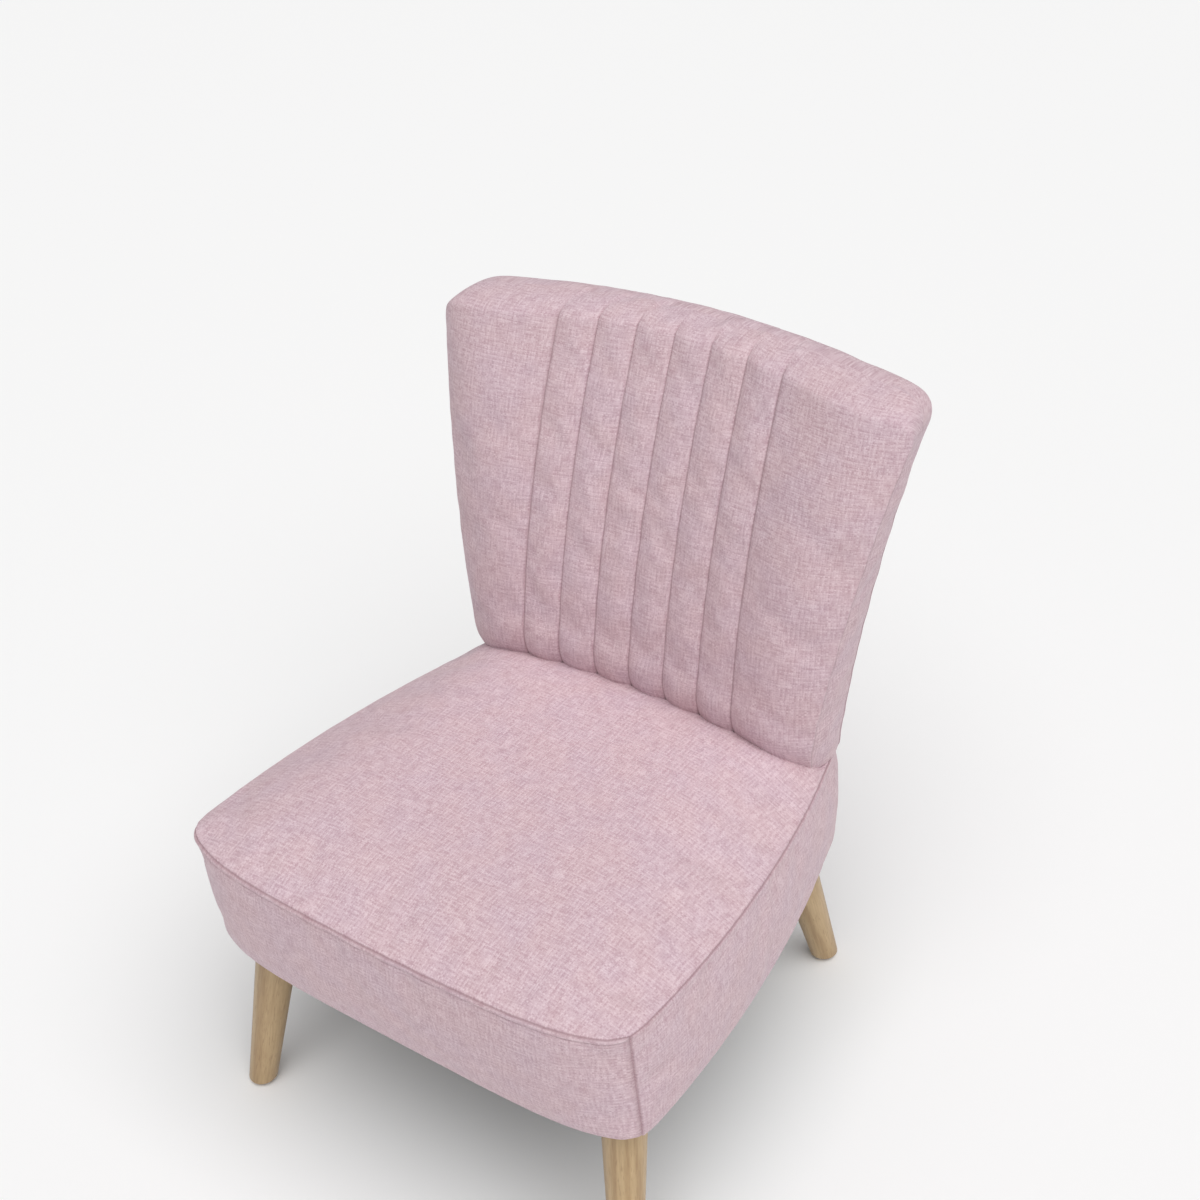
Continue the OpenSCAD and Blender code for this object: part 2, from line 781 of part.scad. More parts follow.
// Cross board between the posts, leaning with the back
module post_board(z, h, t) {
    half_low = post_in(z - h / 2) - 0.3;
    half_high = post_in(z + h / 2) - 0.3;
    translate([0, frame_rear_y(z) - 2, z])
        rotate([90 - lean_at(z), 0, 0])
            linear_extrude(t)
                polygon([[-half_low, -h / 2], [half_low, -h / 2], [half_high, h / 2], [-half_high, h / 2]]);
}

module back_mid_rail() {
    color(pine_color) from_front() post_board((post_z + post_top_z) / 2, 60, post_t);
}

module back_top_rail() {
    z = post_top_z - 36;
    h = 62;
    rise = 14;
    half_low = post_in(z - h / 2) - 0.3;
    half_high = post_in(z + h / 2) - 0.3;
    color(pine_color) from_front()
        translate([0, frame_rear_y(z) - 2, z])
            rotate([90 - lean_at(z), 0, 0])
                linear_extrude(post_t)
                    polygon(concat(
                        [[-half_low, -h / 2], [half_low, -h / 2]],
                        [for (u = [1 : -0.125 : -1]) [u * half_high, h / 2 + rise * (1 - u * u)]]
                    ));
}

bottom_rail_h = 55;
back_insert_len = 28;

module back_bottom_rail() {
    z = post_z + 1;
    y2 = frame_rear_y(z) - 1;
    d = post_foot_d - 16;
    w = 2 * (post_in(z) - 0.3);
    color(pine_color) from_front() difference() {
        translate([-w / 2, y2 - d, z]) cube([w, d, bottom_rail_h]);
        bolt_holes(z - 1, back_insert_len + 1, insert_dia);
        bolt_holes(z - 1, back_insert_len + 16, bolt_dia);
    }
}

module back_insert_nuts() {
    z = post_z + 1;
    color(steel_color) from_front() difference() {
        bolt_holes(z, back_insert_len, insert_dia);
        bolt_holes(z - 1, back_insert_len + 2, bolt_dia);
    }
}

module back_washers() {
    color(steel_color) from_front() difference() {
        bolt_holes(rail_top_z + 0.2 - 1.6, 1.6, 3 * bolt_dia);
        bolt_holes(rail_top_z - 3, 5, bolt_dia + 0.4);
    }
}

module back_bolts() {
    z = rail_top_z + 0.2 - 1.6;
    top = post_z + 1 + back_insert_len + 12;
    color(steel_color) from_front() {
        bolt_holes(z, top - z, bolt_dia);
        for (x = bolt_xs)
            translate([x, bolt_y, z - head_h])
                cylinder(h = head_h, d = 15, $fn = 6);
    }
}

// Elastic webbing stretched across the front of the posts
module back_straps() {
    first = back_z + bottom_rail_h + 44;
    last = post_top_z - 62;
    color(cloth_color) from_front()
        for (i = [0 : straps - 1]) {
            z = first + (last - first) * i / (straps - 1);
            w = 2 * (post_in(z) + post_t);
            translate([0, frame_front_y(z) - 4.2, z])
                rotate([-lean_at(z), 0, 0])
                    translate([-w / 2, 0, -strap_w / 2])
                        cube([w, 1.8, strap_w]);
        }
}

// ---- Backrest filling and covers ----

// Columns of the face: straight channels in the middle, wide panels that fan out at the sides
half_channels = channels / 2;
field_half = half_channels * channel_w;

function column_x(c, z) =
    abs(c) <= half_channels ? c * channel_w
        : sign(c) * (field_half + (back_half(z) - field_half) * (abs(c) - half_channels));

// Seams are at whole numbers of c; the swell between them follows a sine
function swell(c) =
    abs(c) <= half_channels ? groove * abs(sin(180 * c))
        : groove * 0.9 * sin(180 * pow(abs(c) - half_channels, 0.7));

function back_pt(c, p, inset, puff) =
    let (
        z1 = row_z(0, p),
        u1 = max(-1, min(1, column_x(c, z1) / back_half(z1))),
        z = row_z(u1, p),
        x = column_x(c, z),
        w = back_half(z),
        u = max(-1, min(1, x / w)),
        q = shell_pt(x * (w - inset) / w, u, p, inset, 0)
    )
    [q[0], q[1] - (p <= 1 ? puff * swell(c) : puff * swell(c) * cos(90 * (p - 1))), q[2]];

// The panels meet at their seams, just clear of each other
channel_cols = concat([0.006], [for (c = [0.25 : 0.25 : half_channels]) c]);
wing_cols = [for (k = [0.006, 0.12, 0.3, 0.5, 0.7, 0.85, 0.94, 1]) half_channels + k];
face_rows = concat([0, 0.035, 0.07, 0.105, 0.14], [for (i = [2.5 : 11]) i / 12], [1, 1.1, 1.22, 1.36, 1.5, 1.64, 1.78, 1.88, 1.96]);

module back_panel(cols) {
    outer = [for (p = face_rows) [for (c = cols) back_pt(c, p, 0, 1)]];
    inner = [for (p = face_rows) [for (c = cols) back_pt(c, p, cloth_t, 1)]];
    color(cover_color) from_front() slab(outer, inner);
}

// Rear face of the back foam: just ahead of the webbing
function foam_rear_y(z) = frame_front_y(min(z, post_top_z)) - 7.8 + max(0, z - post_top_z) * head_slope;

module back_foam() {
    us = edge_steps(18);
    ps = concat([for (i = [0 : 11]) i / 12], [1, 1.12, 1.25, 1.36]);
    inset = cloth_t + gap + 2;
    face = [for (p = ps) [for (u = us)
        shell_pt(u * 0.99 * (back_half(row_z(u, p)) - inset), u * 0.99, p, inset, 3)]];
    back = [for (row = face) [for (q = row)
        [q[0], max(foam_rear_y(q[2]), q[1] + 3), q[2]]]];
    color(foam_color) from_front() slab(face, back);
}

module back_wadding() {
    us = edge_steps(12);
    ps = [for (i = [0 : 10]) i / 10];
    grid = function(back_off) [for (p = ps) [for (u = us)
        let (z = back_z + 3 + (roll_z(u) - 12 - back_z) * p)
        [u * (back_half(z) - rear_in(z) - 8), rear_y(u, z) - back_off, z]]];
    color(felt_color) from_front()
        slab(grid(cloth_t + gap + rear_pad - 4.5), grid(cloth_t + gap));
}

module back_side_cover() {
    ks = [0, 0.25, 0.5, 0.75, 1];
    ps = concat([for (i = [0 : 11]) i / 12], [1, 1.08, 1.16]);
    pt = function(p, k, off) let (
        q = shell_pt(0, 1, p, 0, 0),
        zt = roll_z(1),
        a = max(0, p - 1) * 180,
        half_t = (rear_y(1, zt) - face_y(1, zt)) / 2,
        y2 = p <= 1 ? rear_y(1, q[2]) : q[1] + 2 * half_t * cos(a)
    ) [back_half(min(q[2], zt)) - rear_in(min(q[2], zt)) * k + 0.8 + off, q[1] + (y2 - q[1]) * k, q[2]];
    outer = [for (p = ps) [for (k = ks) pt(p, k, cloth_t)]];
    inner = [for (p = ps) [for (k = ks) pt(p, k, 0)]];
    color(side_color) from_front() slab(outer, inner);
}

module back_rear_cover() {
    us = edge_steps(20);
    ps = [for (i = [0 : 12]) i / 12];
    grid = function(off) [for (p = ps) [for (u = us)
        let (z = back_z + (roll_z(u) - gap - 10 * pow(u, 8) - back_z) * p)
        [u * (back_half(z) - rear_in(z)), rear_y(u, z) - off, z]]];
    color(side_color) from_front() slab(grid(cloth_t), grid(0));
}

module back_base_cloth() {
    z = back_z - 0.1;
    y1 = face_y(0, z) + 12;
    y2 = rear_y(1, z) - cloth_t - gap;
    color(cloth_color) from_front() difference() {
        translate([-back_foot_w / 2 + 12, y1, z])
            cube([back_foot_w - 24, y2 - y1, 1.4]);
        bolt_holes(z - 1, 4, bolt_dia + 1);
    }
}

leg(left, front);  // leg_front_left
leg(right, front);  // leg_front_right
leg(left, rear);  // leg_rear_left
leg(right, rear);  // leg_rear_right
glide(left, front);  // glide_front_left
glide(right, front);  // glide_front_right
glide(left, rear);  // glide_rear_left
glide(right, rear);  // glide_rear_right
hanger_bolts();
leg_insert_nuts();
seat_front_rail();
seat_rear_rail();
side_rail(left);  // seat_left_rail
side_rail(right);  // seat_right_rail
spring_rail();
corner_block(left, front);  // corner_block_front_left
corner_block(right, front);  // corner_block_front_right
corner_block(left, rear);  // corner_block_rear_left
corner_block(right, rear);  // corner_block_rear_right
rail_dowels();
block_screws();
back_beam();
seat_springs();
spring_clips();
spring_felt();
seat_foam();
seat_top_cover();
seat_front_cover();
mirror([1, 0, 0]) side_cover();  // seat_left_cover
side_cover();  // seat_right_cover
seat_rear_cover();
deck_cloth();
dust_cover();
dust_cover_staples();
back_post(left);  // back_left_post
back_post(right);  // back_right_post
back_top_rail();
back_mid_rail();
back_bottom_rail();
back_straps();
back_foam();
back_wadding();
mirror([1, 0, 0]) back_panel(channel_cols);  // back_left_channel_cover
back_panel(channel_cols);  // back_right_channel_cover
mirror([1, 0, 0]) back_panel(wing_cols);  // back_left_wing_cover
back_panel(wing_cols);  // back_right_wing_cover
mirror([1, 0, 0]) back_side_cover();  // back_left_cover
back_side_cover();  // back_right_cover
back_rear_cover();
back_base_cloth();
back_bolts();
back_washers();
back_insert_nuts();
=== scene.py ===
import json
import math
import bpy
import numpy as np
from mathutils import Matrix, Vector, kdtree


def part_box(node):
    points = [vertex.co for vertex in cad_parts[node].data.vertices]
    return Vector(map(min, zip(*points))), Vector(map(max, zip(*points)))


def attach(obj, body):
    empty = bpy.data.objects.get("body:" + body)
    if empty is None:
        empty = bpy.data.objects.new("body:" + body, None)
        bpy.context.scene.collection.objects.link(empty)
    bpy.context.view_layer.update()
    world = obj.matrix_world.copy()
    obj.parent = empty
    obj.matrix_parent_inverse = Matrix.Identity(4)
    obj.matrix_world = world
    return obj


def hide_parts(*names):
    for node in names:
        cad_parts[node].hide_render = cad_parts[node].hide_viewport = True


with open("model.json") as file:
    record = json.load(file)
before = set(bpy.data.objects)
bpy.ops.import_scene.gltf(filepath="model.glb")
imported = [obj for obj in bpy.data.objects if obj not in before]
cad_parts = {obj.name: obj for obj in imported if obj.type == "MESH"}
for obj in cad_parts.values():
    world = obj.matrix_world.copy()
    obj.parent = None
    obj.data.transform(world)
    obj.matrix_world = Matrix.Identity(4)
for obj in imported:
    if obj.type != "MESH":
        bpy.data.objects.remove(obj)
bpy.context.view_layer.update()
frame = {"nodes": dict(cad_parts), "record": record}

scene = bpy.context.scene
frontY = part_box("seat_top_cover")[0].y    # middle of the front seam
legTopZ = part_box("seat_front_cover")[0].z
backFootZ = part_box("back_left_channel_cover")[0].z

# camera, light, floor

camera = {
    "azimuth": 37.236, "elevation": 35.41, "roll": -3.69,
    "distance": 2.05494, "target": (0.00503, 0.40601, 0.53071),    # from the front seam
    "lens": 57.0, "shiftX": -0.00048, "shiftY": 0.02273,
}
light = {"world": 0.26, "backdrop": 0.97, "overhead": 2.52, "lean": (0.38, -0.27, 1.0), "spread": 64}


def placeCamera():
    az, el, roll = (math.radians(camera[k]) for k in ("azimuth", "elevation", "roll"))
    back = Vector((math.sin(az) * math.cos(el), -math.cos(az) * math.cos(el), math.sin(el)))
    flatRight = Vector((math.cos(az), math.sin(az), 0))
    flatUp = back.cross(flatRight)
    right = math.cos(roll) * flatRight + math.sin(roll) * flatUp
    up = math.cos(roll) * flatUp - math.sin(roll) * flatRight
    data = bpy.data.cameras.new("chair_camera")
    data.lens = camera["lens"]
    data.sensor_width = 36.0
    data.shift_x = camera["shiftX"]
    data.shift_y = camera["shiftY"]
    shot = bpy.data.objects.new("chair_camera", data)
    scene.collection.objects.link(shot)
    spin = Matrix((right, up, back)).transposed().to_4x4()
    target = Vector(camera["target"]) + Vector((0, frontY, 0))
    shot.matrix_world = Matrix.Translation(target + back * camera["distance"]) @ spin
    scene.camera = shot


def overheadLight():
    # one very wide soft light from above, a little to the right
    data = bpy.data.lights.new("overhead", "SUN")
    data.energy = light["overhead"]
    data.angle = math.radians(light["spread"])
    lamp = bpy.data.objects.new("overhead", data)
    scene.collection.objects.link(lamp)
    lamp.rotation_euler = Vector(light["lean"]).to_track_quat("Z", "Y").to_euler()


def setStage():
    world = bpy.data.worlds.new("studio")
    world.use_nodes = True
    sky = world.node_tree.nodes["Background"]
    sky.inputs["Color"].default_value = (1.0, 0.995, 0.99, 1)
    # what the camera sees past the floor is as pale as the floor
    nodes, links = world.node_tree.nodes, world.node_tree.links
    path, seen = nodes.new("ShaderNodeLightPath"), nodes.new("ShaderNodeMapRange")
    seen.inputs["To Min"].default_value = light["world"]
    seen.inputs["To Max"].default_value = light["backdrop"]
    links.new(path.outputs["Is Camera Ray"], seen.inputs["Value"])
    links.new(seen.outputs["Result"], sky.inputs["Strength"])
    scene.world = world
    scene.view_settings.view_transform = "Standard"
    overheadLight()
    reach = 14.0
    mesh = bpy.data.meshes.new("floor")
    mesh.from_pydata([(-reach, -reach, 0), (reach, -reach, 0), (reach, reach, 0), (-reach, reach, 0)],
                     [], [(0, 1, 2, 3)])
    floor = bpy.data.objects.new("floor", mesh)
    scene.collection.objects.link(floor)
    paint = bpy.data.materials.new("floor_paint")
    paint.use_nodes = True
    shader = paint.node_tree.nodes["Principled BSDF"]
    shader.inputs["Base Color"].default_value = (0.95, 0.95, 0.95, 1)
    shader.inputs["Roughness"].default_value = 0.85
    mesh.materials.append(paint)


placeCamera()
setStage()
print("camera, lights and floor ready")

# materials


class Tree:
    # a short hand for wiring shader nodes
    def __init__(self, name):
        self.material = bpy.data.materials.new(name)
        self.material.use_nodes = True
        self.nodes = self.material.node_tree.nodes
        self.links = self.material.node_tree.links
        self.shader = self.nodes["Principled BSDF"]

    def put(self, socket, value):
        if isinstance(value, bpy.types.NodeSocket):
            self.links.new(value, socket)
        else:
            socket.default_value = value

    def add(self, kind, out=0, settings=None, **inputs):
        node = self.nodes.new(kind)
        for key, value in (settings or {}).items():
            setattr(node, key, value)
        for key, value in inputs.items():
            spot = int(key[1:]) if key[0] == "i" and key[1:].isdigit() else key.replace("_", " ")
            self.put(node.inputs[spot], value)
        return node.outputs[out]

    def math(self, operation, a, b=0.0):
        return self.add("ShaderNodeMath", settings={"operation": operation}, i0=a, i1=b)

    def mapped(self, source, scale, turn=(0, 0, 0), shift=(0, 0, 0)):
        return self.add("ShaderNodeMapping", Vector=source, Location=shift, Rotation=turn, Scale=scale)

    def noise(self, vector, scale, detail=2.0, roughness=0.5, out="Fac"):
        return self.add("ShaderNodeTexNoise", out, Vector=vector, Scale=scale, Detail=detail,
                        Roughness=roughness)

    def ramp(self, value, low, high, colorLow, colorHigh):
        node = self.nodes.new("ShaderNodeValToRGB")
        node.color_ramp.elements[0].position = low
        node.color_ramp.elements[0].color = (*colorLow, 1)
        node.color_ramp.elements[1].position = high
        node.color_ramp.elements[1].color = (*colorHigh, 1)
        self.put(node.inputs[0], value)
        return node.outputs[0]

    def mix(self, factor, a, b, blend="MIX"):
        node = self.nodes.new("ShaderNodeMix")
        node.data_type = "RGBA"
        node.blend_type = blend
        self.put(node.inputs[0], factor)
        self.put(node.inputs[6], a)
        self.put(node.inputs[7], b)
        return node.outputs[2]

    def bump(self, height, strength, distance, normal=None):
        node = self.nodes.new("ShaderNodeBump")
        node.inputs["Strength"].default_value = strength
        node.inputs["Distance"].default_value = distance
        self.put(node.inputs["Height"], height)
        if normal is not None:
            self.put(node.inputs["Normal"], normal)
        return node.outputs[0]

    def finish(self, color, rough, normal=None, **fixed):
        self.put(self.shader.inputs["Base Color"], color)
        self.put(self.shader.inputs["Roughness"], rough)
        if normal is not None:
            self.put(self.shader.inputs["Normal"], normal)
        for key, value in fixed.items():
            self.shader.inputs[key.replace("_", " ")].default_value = value
        return self.material


linen = {
    "thread": 0.0024,        # pitch of the thread pairs
    "slub": 0.017,           # length of a thick place in a thread
    "patch": 0.055,          # size of the soft patches of tone
    "light": (0.800, 0.640, 0.680),
    "deep": (0.500, 0.325, 0.372),
    "warm": (0.700, 0.500, 0.520),
    "cool": (0.640, 0.490, 0.570),
    # colour of the painted shade in the seam grooves
    "seam": (0.27, 0.15, 0.17),
    "sheen": 0.18,
}


def linenCloth(name):
    t = Tree(name)
    uv = t.add("ShaderNodeUVMap", settings={"uv_map": "cloth"})
    across, along = 1 / linen["thread"], 1 / linen["slub"]
    warp = t.noise(t.mapped(uv, (across, along, 1)), 1.0, 3.0, 0.65)
    weft = t.noise(t.mapped(uv, (along, across, 1), shift=(7.3, 2.1, 0)), 1.0, 3.0, 0.65)
    # over and under: which thread lies on top
    parts = t.nodes.new("ShaderNodeSeparateXYZ")
    t.put(parts.inputs[0], t.mapped(uv, (math.pi * across, math.pi * across, 1)))
    overX = t.math("SINE", parts.outputs[0])
    overY = t.math("SINE", parts.outputs[1])
    over = t.math("MULTIPLY", overX, overY)
    onTop = t.add("ShaderNodeMapRange", From_Min=-0.6, From_Max=0.6, Value=over)
    threads = t.add("ShaderNodeMix", Factor=onTop, A=warp, B=weft)
    tint = t.ramp(threads, 0.37, 0.63, linen["deep"], linen["light"])
    patchNoise = t.noise(t.mapped(uv, (1, 1, 1)), 1 / linen["patch"], 2.0, 0.55)
    patches = t.ramp(patchNoise, 0.38, 0.64, linen["warm"], linen["cool"])
    color = t.mix(0.25, tint, patches)
    # painted shade: darker in the seams, where shade falls in the seam grooves
    seam = t.add("ShaderNodeAttribute", "Fac", settings={"attribute_name": "seam"})
    color = t.mix(t.math("MULTIPLY", seam, 0.6), color, (*linen["seam"], 1))
    height = t.math("ADD", t.math("MULTIPLY", t.math("ABSOLUTE", over), 0.6), threads)
    fine = t.bump(height, 0.55, 0.0005)
    broad = t.noise(t.mapped(uv, (1, 1, 1)), 38.0, 2.0, 0.5)
    normal = t.bump(broad, 0.10, 0.004, fine)
    return t.finish(color, 0.88, normal, Sheen_Weight=linen["sheen"], Sheen_Roughness=0.45,
                    Specular_IOR_Level=0.22)


def threadMaterial():
    t = Tree("sewing_thread")
    place = t.add("ShaderNodeTexCoord", "Object")
    ply = t.noise(place, 900.0, 1.0)
    color = t.ramp(ply, 0.35, 0.65, (0.46, 0.27, 0.31), (0.66, 0.45, 0.50))
    return t.finish(color, 0.6, t.bump(ply, 0.5, 0.0003), Sheen_Weight=0.2)


wood = {
    "light": (0.59, 0.425, 0.235), "dark": (0.40, 0.255, 0.125), "pore": (0.33, 0.20, 0.10),
    "ring": 150.0, "stretch": 14.0,
}


def paleWood(name, source, ring=None, rough=0.42, coat=0.18):
    t = Tree(name)
    if source == "grain":
        place = t.add("ShaderNodeAttribute", "Vector", settings={"attribute_name": "grain"})
    else:
        place = t.add("ShaderNodeTexCoord", "Object")
    long = (1, 1, 1 / wood["stretch"]) if source in ("grain", "Z") else (1 / wood["stretch"], 1, 1)
    flow = t.mapped(place, long)
    wander = t.noise(flow, 22.0, 3.0, 0.5, "Color")
    bent = t.add("ShaderNodeMix", 1, settings={"data_type": "VECTOR"}, i0=0.04, i4=flow, i5=wander)
    rings = t.add("ShaderNodeTexWave", "Fac", Vector=bent, Scale=ring or wood["ring"] / 6.3,
                  Distortion=3.0, Detail=3.0, Detail_Scale=2.2)
    fibre = t.noise(t.mapped(place, tuple(v * 420 for v in long)), 1.0, 3.0, 0.6)
    body = t.ramp(rings, 0.2, 0.95, wood["light"], wood["dark"])
    body = t.mix(0.5, t.ramp(fibre, 0.3, 0.7, wood["dark"], wood["light"]), body)
    poreNoise = t.noise(t.mapped(place, tuple(v * 900 for v in long)), 1.0, 1.0)
    pores = t.ramp(poreNoise, 0.62, 0.70, (0, 0, 0), (1, 1, 1))
    color = t.mix(t.math("MULTIPLY", pores, 0.55), body, (*wood["pore"], 1))
    shade = t.ramp(t.noise(flow, 9.0, 2.0), 0.3, 0.7, (0.88, 0.87, 0.86), (1, 1, 1))
    color = t.mix(1.0, color, shade, "MULTIPLY")
    gloss = t.add("ShaderNodeMapRange", Value=fibre, To_Min=rough - 0.08, To_Max=rough + 0.14)
    return t.finish(color, gloss, t.bump(t.math("ADD", fibre, t.math("MULTIPLY", pores, -0.6)), 0.18, 0.0006),
                    Coat_Weight=coat, Coat_Roughness=0.25)


def zincSteel():
    t = Tree("zinc_steel")
    place = t.add("ShaderNodeTexCoord", "Object")
    spangle = t.noise(place, 160.0, 3.0)
    color = t.ramp(spangle, 0.3, 0.7, (0.50, 0.51, 0.54), (0.72, 0.72, 0.70))
    rough = t.add("ShaderNodeMapRange", Value=spangle, To_Min=0.24, To_Max=0.5)
    return t.finish(color, rough, t.bump(spangle, 0.1, 0.0004), Metallic=1.0)


def glidePlastic():
    t = Tree("glide_plastic")
    place = t.add("ShaderNodeTexCoord", "Object")
    scuff = t.noise(place, 300.0, 4.0, 0.6)
    color = t.ramp(scuff, 0.35, 0.75, (0.018, 0.018, 0.02), (0.055, 0.055, 0.058))
    rough = t.add("ShaderNodeMapRange", Value=scuff, To_Min=0.4, To_Max=0.65)
    return t.finish(color, rough, t.bump(scuff, 0.25, 0.0004))


def liningCloth(name, low, high, dots=True):
    t = Tree(name)
    place = t.add("ShaderNodeTexCoord", "Object")
    fibres = t.noise(t.mapped(place, (1, 3, 1)), 260.0, 5.0, 0.7)
    color = t.ramp(fibres, 0.3, 0.75, low, high)
    height = fibres
    if dots:
        bonded = t.add("ShaderNodeTexVoronoi", "Distance", Vector=place, Scale=420.0)
        height = t.math("ADD", fibres, bonded)
    return t.finish(color, 0.92, t.bump(height, 0.5, 0.0006), Specular_IOR_Level=0.15)


def ribbedWebbing():
    t = Tree("ribbed_webbing")
    place = t.add("ShaderNodeTexCoord", "Object")
    ribs = t.add("ShaderNodeTexWave", "Fac", settings={"bands_direction": "Z"}, Vector=place, Scale=95.0)
    picks = t.add("ShaderNodeTexWave", "Fac", settings={"bands_direction": "X"}, Vector=place, Scale=160.0)
    weave = t.math("MULTIPLY", ribs, picks)
    color = t.ramp(weave, 0.1, 0.8, (0.02, 0.02, 0.022), (0.12, 0.12, 0.12))
    return t.finish(color, 0.8, t.bump(weave, 0.5, 0.0008))


finishes = {
    "cover_fabric": linenCloth("pink_linen"),
    "thread": threadMaterial(),
    "leg_wood": paleWood("leg_wood", "grain"),
    "frame_pine": paleWood("frame_pine", "X", ring=14.0, rough=0.6, coat=0.0),
    "zinc_steel": zincSteel(),
    "glide_plastic": glidePlastic(),
    "black_lining": liningCloth("black_lining", (0.008, 0.008, 0.009), (0.035, 0.035, 0.038)),
    "felt": liningCloth("grey_felt", (0.36, 0.36, 0.35), (0.62, 0.62, 0.60), dots=False),
    "foam": liningCloth("cut_foam", (0.62, 0.52, 0.26), (0.80, 0.72, 0.46)),
    "webbing": ribbedWebbing(),
}
print("materials ready")

# shared helpers


def meshPiece(name, points, faces, slot, uvs=None, marks=None):
    mesh = bpy.data.meshes.new(name)
    mesh.from_pydata([tuple(p) for p in points], [], faces)
    mesh.update()
    if uvs is not None:
        layer = mesh.uv_layers.new(name="cloth")
        layer.data.foreach_set("uv", np.asarray(uvs, dtype=np.float32).ravel())
    for key, values in (marks or {}).items():
        kind = "FLOAT_VECTOR" if np.ndim(values) == 2 else "FLOAT"
        attribute = mesh.attributes.new(key, kind, "POINT")
        field = "vector" if kind == "FLOAT_VECTOR" else "value"
        attribute.data.foreach_set(field, np.asarray(values, dtype=np.float32).ravel())
    mesh.polygons.foreach_set("use_smooth", [True] * len(mesh.polygons))
    mesh.materials.append(finishes[slot])
    piece = bpy.data.objects.new(name, mesh)
    scene.collection.objects.link(piece)
    return piece


def subdivide(piece, levels=1):
    rounded = piece.modifiers.new("rounded", "SUBSURF")
    rounded.levels = rounded.render_levels = levels
    rounded.boundary_smooth = "PRESERVE_CORNERS"


def smoothStep(a, b, x):
    k = min(1.0, max(0.0, (x - a) / (b - a)))
    return k * k * (3 - 2 * k)


padding = {"pressure": 2.2, "frames": 20, "slack": -0.012, "reach": 0.010, "mass": 0.3}


def inflate(name, points, faces, held):
    # air pressure in a coarse copy of the cushion; returns how far each of its points moved
    mesh = bpy.data.meshes.new(name)
    mesh.from_pydata([tuple(p) for p in points], [], faces)
    cage = bpy.data.objects.new(name, mesh)
    scene.collection.objects.link(cage)
    group = cage.vertex_groups.new(name="held")
    for index, weight in enumerate(held):
        if weight > 0:
            group.add([index], weight, "REPLACE")
    cloth = cage.modifiers.new("cloth", "CLOTH")
    s = cloth.settings
    s.quality = 6
    s.mass = padding["mass"]
    s.use_pressure = True
    s.uniform_pressure_force = padding["pressure"]
    s.vertex_group_mass = "held"
    s.shrink_min = padding["slack"]
    s.tension_stiffness = s.compression_stiffness = 18
    s.shear_stiffness = 6
    s.bending_stiffness = 0.6
    s.air_damping = 3
    s.effector_weights.gravity = 0
    cloth.collision_settings.use_collision = False
    cloth.point_cache.frame_start = 1
    cloth.point_cache.frame_end = padding["frames"]
    for step in range(1, padding["frames"] + 1):
        scene.frame_set(step)
    settled = cage.evaluated_get(bpy.context.evaluated_depsgraph_get())
    after = np.empty(len(points) * 3, dtype=np.float32)
    settled.data.vertices.foreach_get("co", after)
    moved = after.reshape(-1, 3) - np.asarray(points, dtype=np.float32)
    scene.frame_set(1)
    bpy.data.objects.remove(cage)
    far = np.linalg.norm(moved, axis=1, keepdims=True)
    cap = padding["reach"]
    moved *= cap * np.tanh(far / cap) / np.maximum(far, 1e-9)
    print(f"{name}: {len(points)} points settled, furthest {far.max() * 1000:.1f} mm")
    return moved


def carry(points, cagePoints, moved, near=6):
    # the fine cushion follows the coarse one
    tree = kdtree.KDTree(len(cagePoints))
    for index, p in enumerate(cagePoints):
        tree.insert(p, index)
    tree.balance()
    out = []
    for p in points:
        total, shift = 0.0, Vector((0, 0, 0))
        for co, index, d in tree.find_n(p, near):
            w = 1 / (d * d + 1e-6)
            total += w
            shift += w * Vector(moved[index])
        out.append(Vector(p) + shift / total)
    return out


# seat cushion

seat = {
    "frontHalf": 0.285, "rearHalf": 0.215, "sitDepth": 0.449, "depth": 0.564,
    "rise": 0.158, "rake": 0.022, "crown": 0.023, "frontBow": 0.035, "sideBow": 0.0075,
    "tuck": 0.020, "rearCorner": 0.026, "cornerRound": 0.010,
    "cornerLength": 0.035, "cornerShare": 0.045,
    "groove": 0.0022,        # depth of the seam round the top
    "lip": 0.0019,           # how far the turned seam stands proud of the front
    "topstitch": 0.0072,     # row of stitches below the front seam
    "hem": 0.009, "underside": 0.2334,
    "drop": 0.14,            # share of the covered part over which the cloth drops
    "lateDrop": 0.06,        # the drop starts this much later beside the backrest
    "deckSink": 0.0032,
    "cell": 0.0085,
}
seamZ = legTopZ + seat["rise"]


def seamHeight(y):
    deck = seat["sitDepth"] - 0.004
    return seamZ - seat["rake"] * min(y, deck) / deck


def seatHalf(y):
    t = (max(y, seat["frontBow"]) - seat["frontBow"]) / (seat["depth"] - seat["frontBow"])
    narrowing = (seat["frontHalf"] - seat["rearHalf"]) * t * t
    half = seat["frontHalf"] + 4 * seat["sideBow"] * t * (1 - t) - narrowing
    k = min(1.0, max(0.0, 1 - (y - seat["frontBow"]) / seat["cornerLength"]))
    half -= 0.5 * seat["cornerRound"] * k * k
    # rounded rear corners
    r = seat["rearCorner"]
    past = y - (seat["depth"] - r)
    if past > 0:
        half -= r - math.sqrt(max(0.0, r * r - past * past))
    return half


def frontEdge(u):
    start = 1 - seat["cornerShare"]
    k = max(0.0, (abs(u) - start) / seat["cornerShare"])
    return seat["frontBow"] * (0.3 * u * u + 0.7 * u ** 6) + seat["cornerRound"] * k * k


def spread(total, cell, fine):
    # steps from 0 to total: fine ones at both ends, then even ones near the cell size
    inner = [f for f in fine if f < total / 2]
    left = inner[-1]
    count = max(2, round((total - 2 * left) / cell))
    middle = [left + (total - 2 * left) * k / count for k in range(1, count)]
    return inner + middle + [total - f for f in reversed(inner)]


